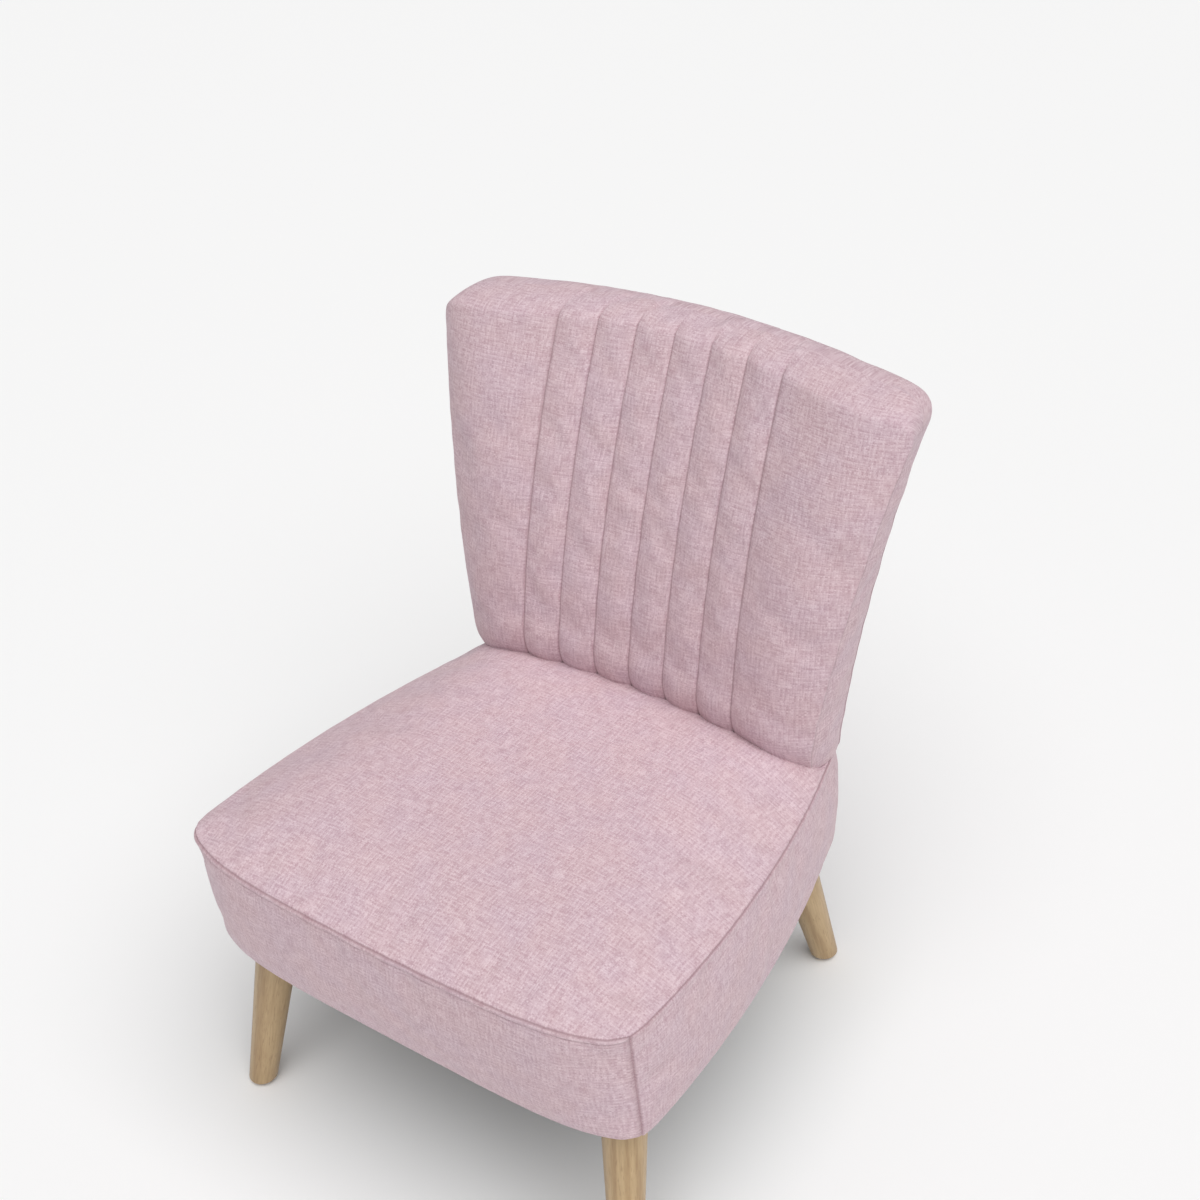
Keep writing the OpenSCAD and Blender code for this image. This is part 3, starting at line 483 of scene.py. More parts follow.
def seatPlan(fineSteps, cell):
    width = 2 * seat["frontHalf"]
    us = [2 * s / width - 1 for s in spread(width, cell, fineSteps)]
    sit = spread(seat["sitDepth"], cell, fineSteps)
    past = spread(seat["depth"] - seat["sitDepth"], cell, fineSteps)[1:]
    return us, sit, past


def seatRise(u, v, y):
    # the top stays level as the seam falls towards the back
    along = 1 - abs(v) ** 4 if v < 0 else 1
    return (seat["crown"] + seamZ - seamHeight(y)) * (1 - abs(u) ** 5) * along


def creaseY(x):
    # where the seat meets the face of the backrest
    deck = seat["sitDepth"]
    top = seamHeight(deck) + seatRise(min(1, abs(x) / seatHalf(deck)), 1, deck) - backFootZ
    return backFace(min(1, abs(x) / back["footHalf"]), top) - 0.001


def seatTopPoint(u, depth):
    # depth: distance along the middle of the seat, from the front seam to the rear
    if depth <= seat["sitDepth"]:
        v = 2 * depth / seat["sitDepth"] - 1
        start, end = frontEdge(u), creaseY(u * seatHalf(seat["sitDepth"]))
        y = start + (end - start) * (v + 1) / 2
        return Vector((u * seatHalf(y), y, seamHeight(y) + seatRise(u, v, y)))
    # behind the crease the cloth drops to the deck that the backrest stands on
    start = creaseY(u * seatHalf(seat["sitDepth"]))
    k = (depth - seat["sitDepth"]) / (seat["depth"] - seat["sitDepth"])
    y = start + (seat["depth"] - start) * k
    late = seat["lateDrop"] * smoothStep(0.72, 0.88, abs(u))
    drop = smoothStep(late, seat["drop"] + late, k)
    deck = seat["deckSink"] * smoothStep(0, 0.1, k) * smoothStep(0, 0.1, 1 - k) * (1 - abs(u) ** 10)
    return Vector((u * seatHalf(y), y, seamHeight(y) + seatRise(u, 1, y) * (1 - drop) - deck))


def seatTuck(u, z):
    return seat["tuck"] * (1 - 0.4 * u * u) * (seamZ - z) / seat["rise"]


def wallOffsets(front, fine):
    # (down, out) from the seam, in metres: groove, rounded lip, topstitch on the front
    if not fine:
        return [(0.012, 0)]
    lip = seat["lip"]
    if front > 0.5:
        t = seat["topstitch"]
        return [(0.0010, 0.0), (0.0022, lip), (0.0042, 1.25 * lip), (t - 0.0014, 0.9 * lip),
                (t, -0.0009), (t + 0.0014, 0.0004), (t + 0.006, 0.0003)]
    return [(0.0010, -0.0002), (0.0020, 0.5 * lip), (0.0036, 0.6 * lip), (0.0058, 0.3 * lip),
            (0.0072, 0.1 * lip), (0.0086, 0.0), (0.0132, 0.0)]


def buildSeat(fine):
    # grid top, walls hung from its border, and a matching grid underneath
    fineSteps = [0, 0.0012, 0.0030, 0.0065, 0.0120] if fine else [0, 0.014]
    cell = seat["cell"] if fine else 0.016
    us, sit, past = seatPlan(fineSteps, cell)
    depths = sit + [seat["sitDepth"] + s for s in past]
    nu, nv = len(us), len(depths)
    # marks: painted seam shade, 0 to 1, that darkens the cloth in the seam grooves, the topstitch row, the
    # front corners and the hem fold
    points, marks, held = [], [], []
    top = []
    for depth in depths:
        row = []
        for u in us:
            row.append(len(points))
            points.append(seatTopPoint(u, depth))
            marks.append(0.0)
            held.append(1.0 if depth > seat["sitDepth"] - 0.001 else 0.0)
        top.append(row)
    border = ([(0, j) for j in range(nu)] + [(i, nu - 1) for i in range(1, nv)]
              + [(nv - 1, j) for j in range(nu - 2, -1, -1)] + [(i, 0) for i in range(nv - 2, 0, -1)])
    outline = [points[top[i][j]].copy() for i, j in border]
    count = len(outline)
    normals = []
    for k in range(count):
        ahead, behind = outline[(k + 1) % count], outline[k - 1]
        edge = ahead - behind
        normals.append(Vector((edge.y, -edge.x, 0)).normalized())
    corners = {0, nu - 1}
    reach = [min(min(abs(k - c), count - abs(k - c)) for c in corners) for k in range(count)]
    cornerFine = {0: -0.0021, 1: 0.0002} if fine else {}
    for k, (i, j) in enumerate(border):
        spot = top[i][j]
        sunk = seat["groove"] if fine else 0
        points[spot] = outline[k] - normals[k] * sunk * 0.55 - Vector((0, 0, sunk))
        marks[spot] = 1.0
        held[spot] = 1.0
    # walls
    frontness = [1.0 if i == 0 else 0.0 for i, j in border]
    wallCell = 0.0085 if fine else 0.016
    rings = []
    offsets = {f: wallOffsets(f, fine) for f in (0.0, 1.0)}
    lead = len(offsets[0.0])
    lowZ = legTopZ + 0.0005
    levels = max(3, round((seat["rise"] - 0.02) / wallCell))
    for r in range(lead + levels):
        ring = []
        for k, (i, j) in enumerate(border):
            base, n = outline[k], normals[k]
            u = us[j]
            if r < lead:
                down, out = offsets[frontness[k]][r]
                # painted seam shade, strongest in the groove right under the seam
                seamShade = 0.9 if r == 0 else 0.25 if r == 1 else 0.0
                if frontness[k] and fine and r == 4:
                    seamShade = 0.55
            else:
                first = offsets[frontness[k]][-1][0]
                whole = base.z - lowZ - (0.004 if fine else 0.0)
                down = first + (whole - first) * (r - lead + 1) / levels
                out, seamShade = 0.0, 0.0
            z = base.z - down
            shift = seatTuck(u if i == 0 else 1, z) * (max(0.0, 1 - base.y / seat["depth"]) if i else 1)
            # the sides belly out a little between seam and hem
            belly = 0.0022 * math.sin(math.pi * min(1, down / seat["rise"]))
            if reach[k] in cornerFine and r >= 1:
                out = cornerFine[reach[k]]
                seamShade = max(seamShade, (1.0, 0.35)[reach[k]])
            p = base + n * (out + belly * smoothStep(0, 6, reach[k])) + Vector((0, shift, -down))
            ring.append(len(points))
            points.append(p)
            marks.append(seamShade)
            held.append(1.0 if (reach[k] == 0 or r == lead + levels - 1) else 0.0)
        rings.append(ring)
    # rounded lower edge and hem, then the underside
    last = [points[q].copy() for q in rings[-1]]
    turnUnder = [(0.0012, 0.0030), (0.0036, 0.0042), (seat["hem"], 0.0030)] if fine else []
    for inward, drop in turnUnder:
        ring = []
        for k in range(count):
            p = last[k] - normals[k] * inward
            ring.append(len(points))
            points.append(Vector((p.x, p.y, last[k].z - drop)))
            # painted shade in the hem fold
            marks.append(0.3 if inward > 0.005 else 0.0)
            held.append(1.0)
        rings.append(ring)
    under = []
    shrink = 0.016 if fine else 0.004
    for i, depth in enumerate(depths):
        row = []
        for j, u in enumerate(us):
            p = seatTopPoint(u, depth)
            y = p.y + seatTuck(u, legTopZ) * (1 - depth / seat["depth"])
            k = 1 - shrink / seat["frontHalf"]
            y = seat["depth"] / 2 + (y - seat["depth"] / 2) * (1 - 2 * shrink / seat["depth"])
            row.append(len(points))
            points.append(Vector((p.x * k, y, seat["underside"])))
            marks.append(0.0)
            held.append(1.0)
        under.append(row)
    faces, uvs = [], []

    def quad(a, b, c, d, flat):
        faces.append((a, b, c, d))
        uvs.extend(flat(points[q]) for q in (a, b, c, d))

    def topFlat(p):
        return (p.x, p.y)

    def underFlat(p):
        return (p.x, p.y + 3.0)

    def wallFlat(i, j):
        if i == 0:
            return lambda p: (p.x, p.z + 1.0)
        if i == nv - 1:
            return lambda p: (p.x + 5.0, p.z + 1.0)
        side = 2.0 if j else -2.0
        return lambda p: (p.y + side, p.z + 1.0)

    for i in range(nv - 1):
        for j in range(nu - 1):
            quad(top[i][j], top[i][j + 1], top[i + 1][j + 1], top[i + 1][j], topFlat)
            quad(under[i][j], under[i + 1][j], under[i + 1][j + 1], under[i][j + 1], underFlat)
    loops = [[top[i][j] for i, j in border]] + rings + [[under[i][j] for i, j in border]]
    for upper, lower in zip(loops, loops[1:]):
        for k in range(count):
            n = (k + 1) % count
            i, j = border[k] if border[k][0] not in (0, nv - 1) or border[k] == border[n] else border[n]
            if border[k][0] == 0 and border[n][0] == 0:
                i, j = 0, 1
            elif border[k][0] == nv - 1 and border[n][0] == nv - 1:
                i, j = nv - 1, 1
            else:
                i, j = 1, 1 if max(border[k][1], border[n][1]) > 0 else 0
            quad(upper[n], upper[k], lower[k], lower[n], wallFlat(i, j))
    home = Vector((0, frontY, 0))
    points = [p + home for p in points]
    return points, faces, uvs, marks, held, {"rings": rings, "border": border, "normals": normals}


# back cushion

back = {
    "footHalf": 0.227, "headHalf": 0.303, "footThick": 0.115, "headThick": 0.066,
    "lean": math.tan(math.radians(6)), "curl": 0.080, "wrapFoot": 0.022, "wrapHead": 0.070,
    "edgeFall": 0.062, "topRound": 0.013, "topCorner": 0.022, "arch": 0.018,
    "rearBow": 0.021, "rearTaper": 0.011, "footTuck": 0.017, "tuckLow": 0.030, "tuckHigh": 0.080,
    "channels": 6, "channel": 0.047, "swell": 0.005, "notch": 0.0011, "boxBulge": 0.0045,
    "liftShare": 0.14, "settle": 0.003, "tuckFall": 0.034,
    "rise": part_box("back_left_channel_cover")[1].z - 0.013 - backFootZ,
    "seam": 0.0020, "cell": 0.0085,
}


def backHalf(z):
    s = (z - backFootZ) / back["rise"]
    return back["footHalf"] + (back["headHalf"] - back["footHalf"]) * (0.8 * s + 0.2 * s * s)


def backFace(u, up):
    # up: height over the foot of the backrest
    s = up / back["rise"]
    wrap = back["wrapFoot"] + (back["wrapHead"] - back["wrapFoot"]) * s
    fall = back["edgeFall"] * (0.8 + 0.3 * s) * 0.85
    y = seat["sitDepth"] + back["lean"] * up + back["curl"] * s * s
    under = (back["tuckHigh"] - back["tuckFall"] * abs(u) ** 5 - up) / (back["tuckHigh"] - back["tuckLow"])
    return y - wrap * u * u + fall * abs(u) ** 6 + back["footTuck"] * max(0.0, min(1.0, under)) ** 2


def backRear(u, up):
    s = up / back["rise"]
    thick = back["footThick"] + (back["headThick"] - back["footThick"]) * s
    return seat["sitDepth"] + back["lean"] * up + back["curl"] * s * s + thick - back["rearBow"] * u * u


def rollUp(u):
    c = back["topCorner"] / back["headHalf"]
    k = max(0.0, (abs(u) - (1 - c)) / c)
    return back["rise"] - back["arch"] * u * u - back["topCorner"] * (1 - math.sqrt(1 - 0.98 * k * k))


def cornerLift(u):
    # the rolled top edge closes down over the top corners
    k = max(0.0, (abs(u) - 1 + back["liftShare"]) / back["liftShare"])
    return back["topRound"] * (1 - k * k)


def columnX(c, half):
    n = back["channels"] / 2
    field = n * back["channel"]
    if abs(c) <= n:
        return c * back["channel"]
    return math.copysign(field + (half - field) * (abs(c) - n), c)


def channelSwell(c):
    n = back["channels"] / 2
    if abs(c) <= n:
        return back["swell"] * abs(math.sin(math.pi * c)) ** 0.8
    return 0.9 * back["swell"] * math.sin(math.pi * (abs(c) - n) ** 0.7)


headSlope = (backFace(0, back["rise"]) - backFace(0, back["rise"] - 0.01)) / 0.01


def backPoint(c, p, rear, depth):
    # c: column, whole numbers at the channel seams. p: 0 to 1 up the face, 1 to 1.5 round to the crest.
    up = back["rise"] * min(p, 1)
    half = backHalf(backFootZ + up)
    u = max(-1.0, min(1.0, columnX(c, half) / half))
    up = rollUp(u) * min(p, 1)
    half = backHalf(backFootZ + up)
    x = columnX(c, half)
    u = max(-1.0, min(1.0, x / half))
    y1, y2 = backFace(u, up), backRear(u, up)
    a = max(0.0, p - 1) * math.pi
    lift = cornerLift(u) * math.sin(a)
    reach = (y2 - y1) / 2 * (1 - math.cos(a))
    taper = back["rearTaper"] * u * up / back["rise"]
    if rear:
        y = y2 - reach - depth * math.cos(a)
        x -= taper * (1 + math.cos(a)) / 2
    else:
        x -= taper * (1 - math.cos(a)) / 2
        puff = channelSwell(c) * (1 if p <= 1 else math.cos((p - 1) * math.pi * 0.8))
        y = y1 + reach - (puff - depth) * math.cos(a)
    settle = back["settle"] * (1 - smoothStep(0, 0.04, p))
    return Vector((x, y + headSlope * lift, backFootZ + up + lift - settle - depth * math.sin(a)))


def backColumns(fine):
    # (column number, groove depth, seam mark: 1 on the seams themselves, and the amount of painted shade in
    # the seam groove)
    n = back["channels"] // 2
    notch = back["notch"]
    channel = back["channel"]
    steps = [0, 0.0011, 0.0026, 0.006, 0.012, 0.018, 0.0235] if fine else [0, 0.008, 0.016, 0.0235]
    half = [(s, {0: notch, 1: 0.25 * notch}.get(k, 0.0) if fine else 0.0, {0: 1.0, 1: 0.12}.get(k, 0.0))
            for k, s in enumerate(steps)]
    columns = []
    for c in range(-n, n):
        for s, d, m in half[:-1]:
            columns.append((c + s / channel, d, m))
        for s, d, m in reversed(half[1:]):
            columns.append((c + 1 - s / channel, d, m))
    columns.append((n, half[0][1], 1.0))
    wing = [0.010, 0.026, 0.055, 0.11, 0.18, 0.26, 0.34, 0.42, 0.50, 0.58, 0.66, 0.74, 0.81, 0.87, 0.915,
            0.95, 0.975, 0.99, 1.0] if fine else [0.11, 0.25, 0.4, 0.55, 0.7, 0.83, 0.93, 1.0]
    outer = [(n + t, notch * 0.25 if (fine and k == 0) else 0.0, 0.35 if k == 0 and fine else 0.0)
             for k, t in enumerate(wing)]
    edge = outer[-1]
    outer[-1] = (edge[0], 0.0, 1.0)
    return [(-c, d, m) for c, d, m in reversed(outer)] + columns + outer


def buildBack(fine):
    columns = backColumns(fine)
    cell = back["cell"] if fine else 0.016
    rowCount = round(back["rise"] / cell)
    ps = [0.0] + ([0.004, 0.011, 0.022] if fine else []) + [k / rowCount for k in range(2, rowCount)] + [1.0]
    rolled = [1.06, 1.12, 1.18, 1.24, 1.30, 1.36, 1.42, 1.47] if fine else [1.15, 1.3, 1.42]
    # the boxing has as many columns as the roll over the top has rows, so that they meet point to point
    half = [(1 - math.cos((p - 1) * math.pi)) / 2 for p in rolled]
    sides = half + [0.5] + [1 - k for k in reversed(half)]
    # marks: painted seam shade, 0 to 1, in the channel seams and along the boxing edges
    points, marks, held, climb = [], [], [], []
    nc, ns = len(columns), len(sides)

    def put(p, seamShade, hold, below=None):
        # climb: length of cloth from the foot of the backrest up to the point
        climb.append(p.z if below is None else climb[below] + (p - points[below]).length)
        points.append(p)
        marks.append(seamShade)
        held.append(hold)
        return len(points) - 1

    seamDepth = back["seam"] if fine else 0.0
    rings, fronts, rears = [], [], []
    for p in ps:
        onBox = 1 - smoothStep(0.90, 1.0, p)
        under = rings[-1] if rings else None
        ring = []

        def add(q, seamShade, hold):
            ring.append(put(q, seamShade, hold, under[len(ring)] if under else None))

        front = [backPoint(c, p, False, d) for c, d, m in columns]
        rear = [backPoint(c, p, True, 0.0) for c, d, m in columns]
        for points2, deep, isRear in ((front, 0.6, False), (rear, -0.6, True)):
            for k, sign in ((0, -1), (nc - 1, 1)):
                points2[k] = points2[k] + Vector((-sign * seamDepth, seamDepth * deep, 0)) * onBox
        for k, q in enumerate(front):
            isEdge = k in (0, nc - 1)
            seamShade = columns[k][2] * (onBox if isEdge else 1)
            add(q, seamShade, 1.0 if columns[k][2] == 1.0 or p == 0 else 0.0)
        for a, b, sign, last in ((front[-1], rear[-1], 1, False), (rear[0], front[0], -1, True)):
            if last:
                for k in range(nc - 1, -1, -1):
                    isEdge = k in (0, nc - 1)
                    add(rear[k], onBox if isEdge else 0.0, 1.0 if isEdge or p == 0 else 0.0)
            for k in sides:
                bulge = back["boxBulge"] * math.sin(math.pi * k) * onBox
                # painted shade beside the boxing seams
                near = 0.35 * onBox if fine and min(k, 1 - k) < 0.02 else 0.0
                add(a.lerp(b, k) + Vector((sign * bulge, 0, 0)), near, 1.0 if p == 1.0 else 0.0)
        rings.append(ring)
        fronts.append(ring[:nc])
        rears.append(ring[nc + ns:2 * nc + ns][::-1])
    rightTop = rings[-1][nc:nc + ns]
    leftTop = rings[-1][2 * nc + ns:][::-1]    # both from front to rear
    for step, p in enumerate(rolled):
        fade = 1 - smoothStep(1.0, 1.36, p)
        for grid, isRear, end in ((fronts, False, step), (rears, True, ns - 1 - step)):
            row = [leftTop[end]]
            for k in range(1, nc - 1):
                c, d, m = columns[k]
                q = backPoint(c, p, isRear, 0.0 if isRear else d * fade)
                row.append(put(q, 0.0 if isRear else m * fade, 1.0 if m * fade > 0.5 else 0.0, grid[-1][k]))
            grid.append(row + [rightTop[end]])
    crest = [leftTop[ns // 2]]
    for k in range(1, nc - 1):
        crest.append(put(backPoint(columns[k][0], 1.5, False, 0.0), 0.0, 0.0, fronts[-1][k]))
    crest.append(rightTop[ns // 2])
    fronts.append(crest)
    rears.append(crest)

    faces, uvs = [], []

    def face(ids, flat):
        faces.append(ids)
        uvs.extend(flat(q) for q in ids)

    def frontFlat(q):
        return (points[q].x, climb[q])

    def rearFlat(q):
        # the crest takes the rear panel's own length
        far = climb[q] if points[q].z < backFootZ + back["rise"] else points[q].z + 0.02
        return (points[q].x + 6.0, far)

    def boxFlat(shift):
        return lambda q: (points[q].y + shift, points[q].z)

    for lower, upper in zip(fronts, fronts[1:]):
        for k in range(nc - 1):
            face((lower[k], lower[k + 1], upper[k + 1], upper[k]), frontFlat)
    for lower, upper in zip(rears, rears[1:]):
        for k in range(nc - 1):
            face((lower[k + 1], lower[k], upper[k], upper[k + 1]), rearFlat)
    for first, count, shift in ((nc - 1, ns + 1, 4.0), (2 * nc + ns - 1, ns + 1, -4.0)):
        for lower, upper in zip(rings, rings[1:]):
            for k in range(first, first + count):
                n = (k + 1) % len(lower)
                face((lower[k], lower[n], upper[n], upper[k]), boxFlat(shift))
    # closed underneath
    foot = rings[0]
    under = boxFlat(8.0)
    for k in range(nc - 1):
        face((fronts[0][k + 1], fronts[0][k], rears[0][k], rears[0][k + 1]), under)
    for start in (nc - 1, 2 * nc + ns - 1):
        ids = [foot[k % len(foot)] for k in range(start, start + ns + 2)]
        face(tuple(reversed(ids)), under)
    home = Vector((0, frontY, 0))
    points = [p + home for p in points]
    seams = {round(columns[k][0]): [row[k] for row in fronts] for k in range(nc) if columns[k][2] == 1.0}
    return points, faces, uvs, marks, held, {"seams": seams}


def makeCushion(name, build, slot):
    points, faces, uvs, marks, _, parts = build(True)
    cage, cageFaces, _, _, cageHeld, _ = build(False)
    moved = inflate(name + "_cage", cage, cageFaces, cageHeld)
    points = carry(points, cage, moved)
    # the seam attribute carries the painted seam shade to the cloth
    piece = meshPiece(name, points, faces, slot, uvs, {"seam": marks})
    subdivide(piece)
    print(name, len(points), "points")
    return piece, points, parts


seatCushion, seatPoints, seatParts = makeCushion("seat_cushion", buildSeat, "cover_fabric")
backCushion, backPoints, backParts = makeCushion("back_cushion", buildBack, "cover_fabric")

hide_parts("seat_top_cover", "seat_front_cover", "seat_left_cover", "seat_right_cover",
            "seat_rear_cover", "seat_foam")
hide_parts("back_left_channel_cover", "back_right_channel_cover",
            "back_left_wing_cover", "back_right_wing_cover", "back_left_cover", "back_right_cover",
            "back_rear_cover", "back_foam", "back_wadding")
for cushion, fill in ((seatCushion, 0.85), (backCushion, 0.8)):
    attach(cushion, "root")

# legs

leg = {"topDia": 0.051, "footDia": 0.033, "frontIn": 0.050, "frontBehind": 0.092, "rearIn": 0.045,
       "rearAhead": 0.044, "splayX": 0.027, "splayY": 0.051, "glide": 0.003, "sides": 40, "levels": 18,
       "footRound": 0.0042}


def turnedLeg(side, row):
    half, y = ((seat["frontHalf"] - leg["frontIn"], leg["frontBehind"]) if row < 0 else
               (seat["rearHalf"] - leg["rearIn"], seat["depth"] - leg["rearAhead"]))
    head = Vector((side * half, frontY + y, legTopZ))
    foot = head + Vector((side * leg["splayX"], row * leg["splayY"], leg["glide"] - legTopZ))
    run = foot - head
    along = run.normalized()
    tilt = Vector((run.x, run.y, 0)).normalized()
    across = Vector((-tilt.y, tilt.x, 0))
    lengthen = 1 / abs(along.z)
    # rows: (share of the way down, narrowing)
    rows = [(k / leg["levels"], 0.0) for k in range(leg["levels"])]
    r = leg["footRound"]
    rows += [(1 - r / run.length, 0.0)]
    for a in (20, 45, 70, 90):
        a = math.radians(a)
        rows.append((1 - r * (1 - math.sin(a)) / run.length, r * (1 - math.cos(a))))
    points, faces = [], []
    for t, narrow in rows:
        centre = head + run * t
        radius = (leg["topDia"] + (leg["footDia"] - leg["topDia"]) * t) / 2 - narrow
        for k in range(leg["sides"]):
            a = 2 * math.pi * k / leg["sides"]
            points.append(centre + radius * (math.cos(a) * lengthen * tilt + math.sin(a) * across))
    n = leg["sides"]
    for i in range(len(rows) - 1):
        for k in range(n):
            j = (k + 1) % n
            faces.append((i * n + j, i * n + k, (i + 1) * n + k, (i + 1) * n + j))
    for i, centre, flip in ((0, head, False), (len(rows) - 1, foot, True)):
        points.append(centre)
        for k in range(n):
            a, b = i * n + k, i * n + (k + 1) % n
            faces.append((b, a, len(points) - 1) if flip else (a, b, len(points) - 1))
    side2 = across.cross(along)
    shift = Vector((0.3 * side, 0.7 * row, 0))
    grain = [(*(Vector(((p - head).dot(across), (p - head).dot(side2), (p - head).dot(along))) + shift),)
             for p in points]
    name = f"leg_turned_{'front' if row < 0 else 'rear'}_{'left' if side < 0 else 'right'}"
    piece = meshPiece(name, points, faces, "leg_wood", marks={"grain": grain})
    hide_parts(name.replace("leg_turned", "leg"))
    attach(piece, "root")


for row in (-1, 1):
    for side in (-1, 1):
        turnedLeg(side, row)
print("legs turned")

# dust cover under the seat

dust = {"inset": 0.0085, "z": 0.23195, "thick": 0.0008, "sag": 0.0022, "cell": 0.012}


def makeDustCover():
    width, length = 2 * (seat["frontHalf"] - dust["inset"]), seat["depth"] - 2 * dust["inset"]
    nu, nv = round(width / dust["cell"]), round(length / dust["cell"])
    legSpots = [Vector((s * x, frontY + y, 0)) for s in (-1, 1)
                for x, y in ((seat["frontHalf"] - leg["frontIn"], leg["frontBehind"]),
                             (seat["rearHalf"] - leg["rearIn"], seat["depth"] - leg["rearAhead"]))]
    points, faces = [], []
    for i in range(nv + 1):
        v = i / nv
        for j in range(nu + 1):
            u = 2 * j / nu - 1
            start = frontEdge(u) + seatTuck(u, legTopZ) + dust["inset"]
            y = start + (seat["depth"] - dust["inset"] - start) * v
            half = seatHalf(y) - dust["inset"]
            x = u * half
            edge = min(1, 6 * (1 - abs(u))) * min(1, 6 * v) * min(1, 6 * (1 - v))
            spot = Vector((x, frontY + y, 0))
            clear = min(1.0, min((spot - q).length for q in legSpots) / 0.09) ** 2
            creases = 0.25 * math.sin(60 * x + 25 * y) * math.sin(17 * y - 9 * x)
            sag = dust["sag"] * edge * clear * (1 + creases)
            points.append((x, frontY + y, dust["z"] - sag))
    n = nu + 1
    for i in range(nv):
        for j in range(nu):
            a, b, c, d = i * n + j, i * n + j + 1, (i + 1) * n + j + 1, (i + 1) * n + j
            faces.append((a, d, c, b))
    piece = meshPiece("dust_cover_cloth", points, faces, "black_lining")
    solid = piece.modifiers.new("thickness", "SOLIDIFY")
    solid.thickness = dust["thick"]
    solid.offset = -1
    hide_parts("dust_cover")
    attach(piece, "root")


makeDustCover()

# stitching

stitch = {"pitch": 0.0050, "length": 0.0036, "radius": 0.00032, "sides": 5}


def stitchTree():
    # one thread stitch set along every edge run of the guide, aligned with it
    tree = bpy.data.node_groups.new("stitch_run", "GeometryNodeTree")
    face = tree.interface
    face.new_socket("Guide", in_out="INPUT", socket_type="NodeSocketGeometry")
    for label, kind in (("Pitch", "NodeSocketFloat"), ("Length", "NodeSocketFloat"),
                        ("Radius", "NodeSocketFloat"), ("Sides", "NodeSocketInt"),
                        ("Thread", "NodeSocketMaterial")):
        face.new_socket(label, in_out="INPUT", socket_type=kind)
    face.new_socket("Stitches", in_out="OUTPUT", socket_type="NodeSocketGeometry")
    new, link = tree.nodes.new, tree.links.new
    source = new("NodeGroupInput").outputs
    path = new("GeometryNodeMeshToCurve")
    link(source["Guide"], path.inputs["Mesh"])
    spaced = new("GeometryNodeResampleCurve")
    spaced.mode = "LENGTH"
    link(path.outputs[0], spaced.inputs["Curve"])
    link(source["Pitch"], spaced.inputs["Length"])
    bar = new("GeometryNodeMeshCylinder")
    link(source["Sides"], bar.inputs["Vertices"])
    link(source["Radius"], bar.inputs["Radius"])
    link(source["Length"], bar.inputs["Depth"])
    tangent = new("GeometryNodeInputTangent")
    turn = new("FunctionNodeAlignRotationToVector")
    turn.axis = "Z"
    link(tangent.outputs[0], turn.inputs["Vector"])
    wobble = new("FunctionNodeRandomValue")
    wobble.data_type = "FLOAT_VECTOR"
    wobble.inputs["Min"].default_value = (-0.07, -0.07, 0)
    wobble.inputs["Max"].default_value = (0.07, 0.07, 0)
    wobble.inputs["Seed"].default_value = 11
    turned = new("FunctionNodeRotateRotation")
    turned.rotation_space = "LOCAL"
    link(turn.outputs[0], turned.inputs[0])
    link(wobble.outputs["Value"], turned.inputs[1])
    placed = new("GeometryNodeInstanceOnPoints")
    link(spaced.outputs[0], placed.inputs["Points"])
    link(bar.outputs[0], placed.inputs["Instance"])
    link(turned.outputs[0], placed.inputs["Rotation"])
    real = new("GeometryNodeRealizeInstances")
    link(placed.outputs[0], real.inputs[0])
    dyed = new("GeometryNodeSetMaterial")
    link(real.outputs[0], dyed.inputs["Geometry"])
    link(source["Thread"], dyed.inputs["Material"])
    link(dyed.outputs[0], new("NodeGroupOutput").inputs[0])
    return tree


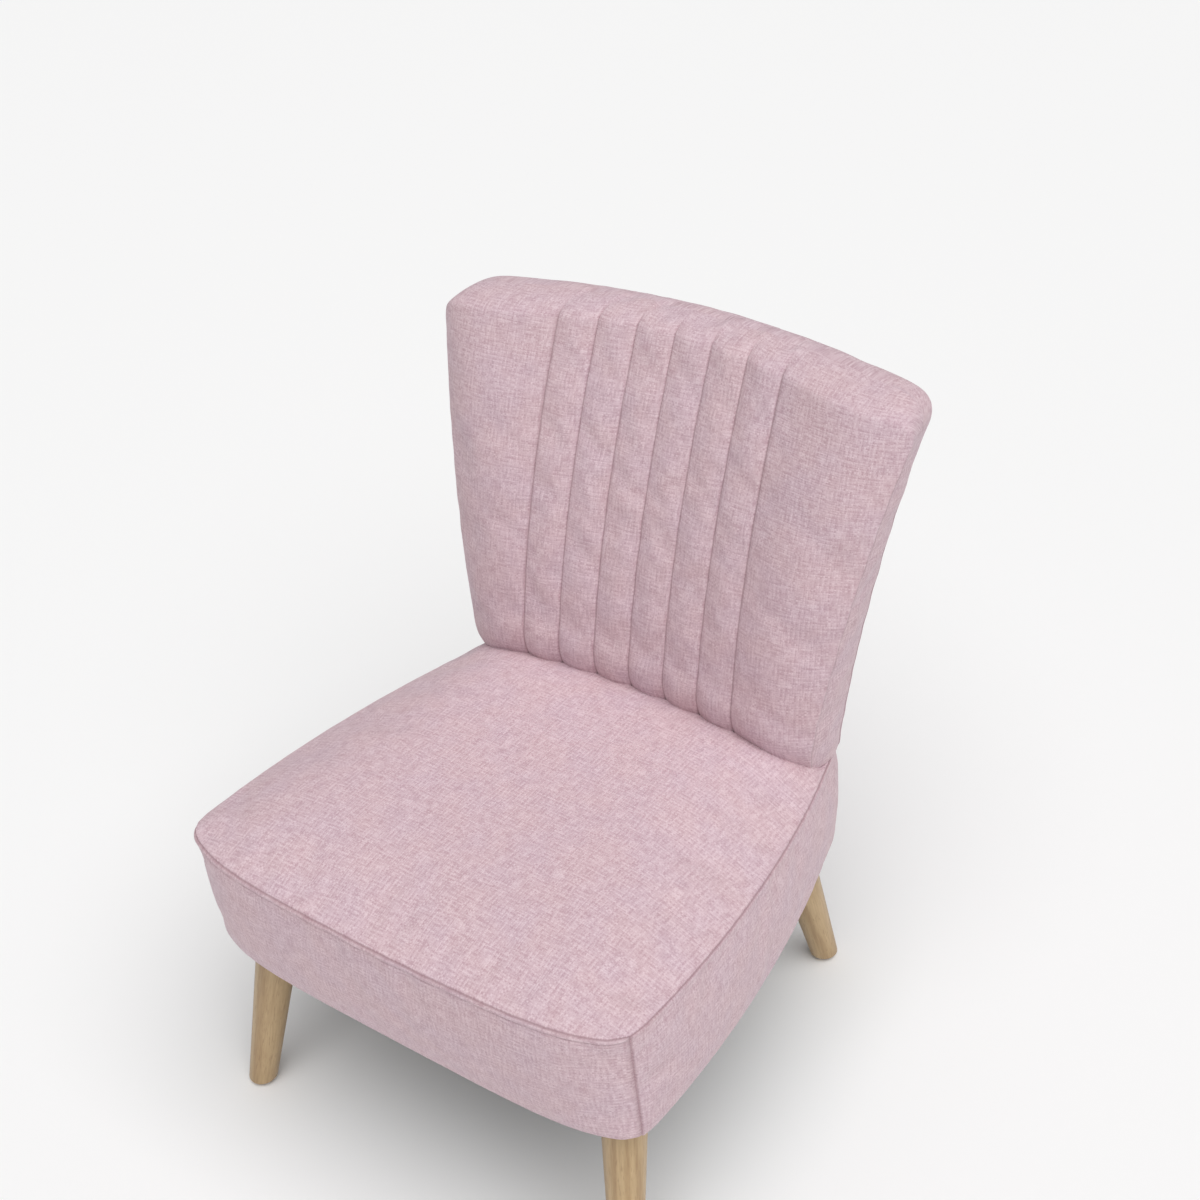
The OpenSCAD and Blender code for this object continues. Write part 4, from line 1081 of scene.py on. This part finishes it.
def sewRuns(name, runs):
    # runs: lists of points, each sewn as its own row
    points, edges = [], []
    for run in runs:
        start = len(points)
        points += [tuple(p) for p in run]
        edges += [(start + k, start + k + 1) for k in range(len(run) - 1)]
    mesh = bpy.data.meshes.new(name + "_guide")
    mesh.from_pydata(points, edges, [])
    guide = bpy.data.objects.new(name + "_guide", mesh)
    scene.collection.objects.link(guide)
    nodes = guide.modifiers.new("stitches", "NODES")
    nodes.node_group = stitchTree()
    values = {"Pitch": stitch["pitch"], "Length": stitch["length"], "Radius": stitch["radius"],
              "Sides": stitch["sides"], "Thread": finishes["thread"]}
    for item in nodes.node_group.interface.items_tree:
        if item.item_type == "SOCKET" and item.in_out == "INPUT" and item.name in values:
            nodes[item.identifier] = values[item.name]
    graph = bpy.context.evaluated_depsgraph_get()
    sewn = bpy.data.meshes.new_from_object(guide.evaluated_get(graph))
    sewn.name = name
    bpy.data.objects.remove(guide)
    piece = bpy.data.objects.new(name, sewn)
    scene.collection.objects.link(piece)
    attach(piece, "root")
    print(name, len(runs), "rows,", len(sewn.polygons), "faces")


def smoothedRun(points):
    # the run follows the subdivided surface
    middle = [(points[k - 1] + 6 * points[k] + points[k + 1]) / 8 for k in range(1, len(points) - 1)]
    return [points[0]] + middle + [points[-1]]


def seatRuns():
    border, rings, normals = seatParts["border"], seatParts["rings"], seatParts["normals"]
    front = [k for k, (i, j) in enumerate(border) if i == 0]
    runs = []
    # the topstitched row under the front seam
    row = rings[4]
    runs.append(smoothedRun([seatPoints[row[k]] + normals[k] * 0.0004 for k in front[3:-3]]))
    # down each front corner
    for k in (front[0], front[-1]):
        runs.append([seatPoints[ring[k]] + normals[k] * 0.0008 for ring in rings[2:-3]])
    return runs


def backRuns():
    runs = []
    for c, ids in backParts["seams"].items():
        last = len(ids) - 6
        if abs(c) > back["channels"] / 2:
            continue
        runs.append(smoothedRun([backPoints[q] + Vector((0, -0.0002, 0)) for q in ids[2:last]]))
    return runs


sewRuns("seat_stitching", seatRuns())
sewRuns("back_stitching", backRuns())

# the pieces carried over from the frame

slotOf = {part["node"]: part["material_slot"] for part in frame["record"]["subparts"]}
for nodeName, node in frame["nodes"].items():
    node.data.materials.clear()
    node.data.materials.append(finishes[slotOf[nodeName]])
print("frame pieces finished")
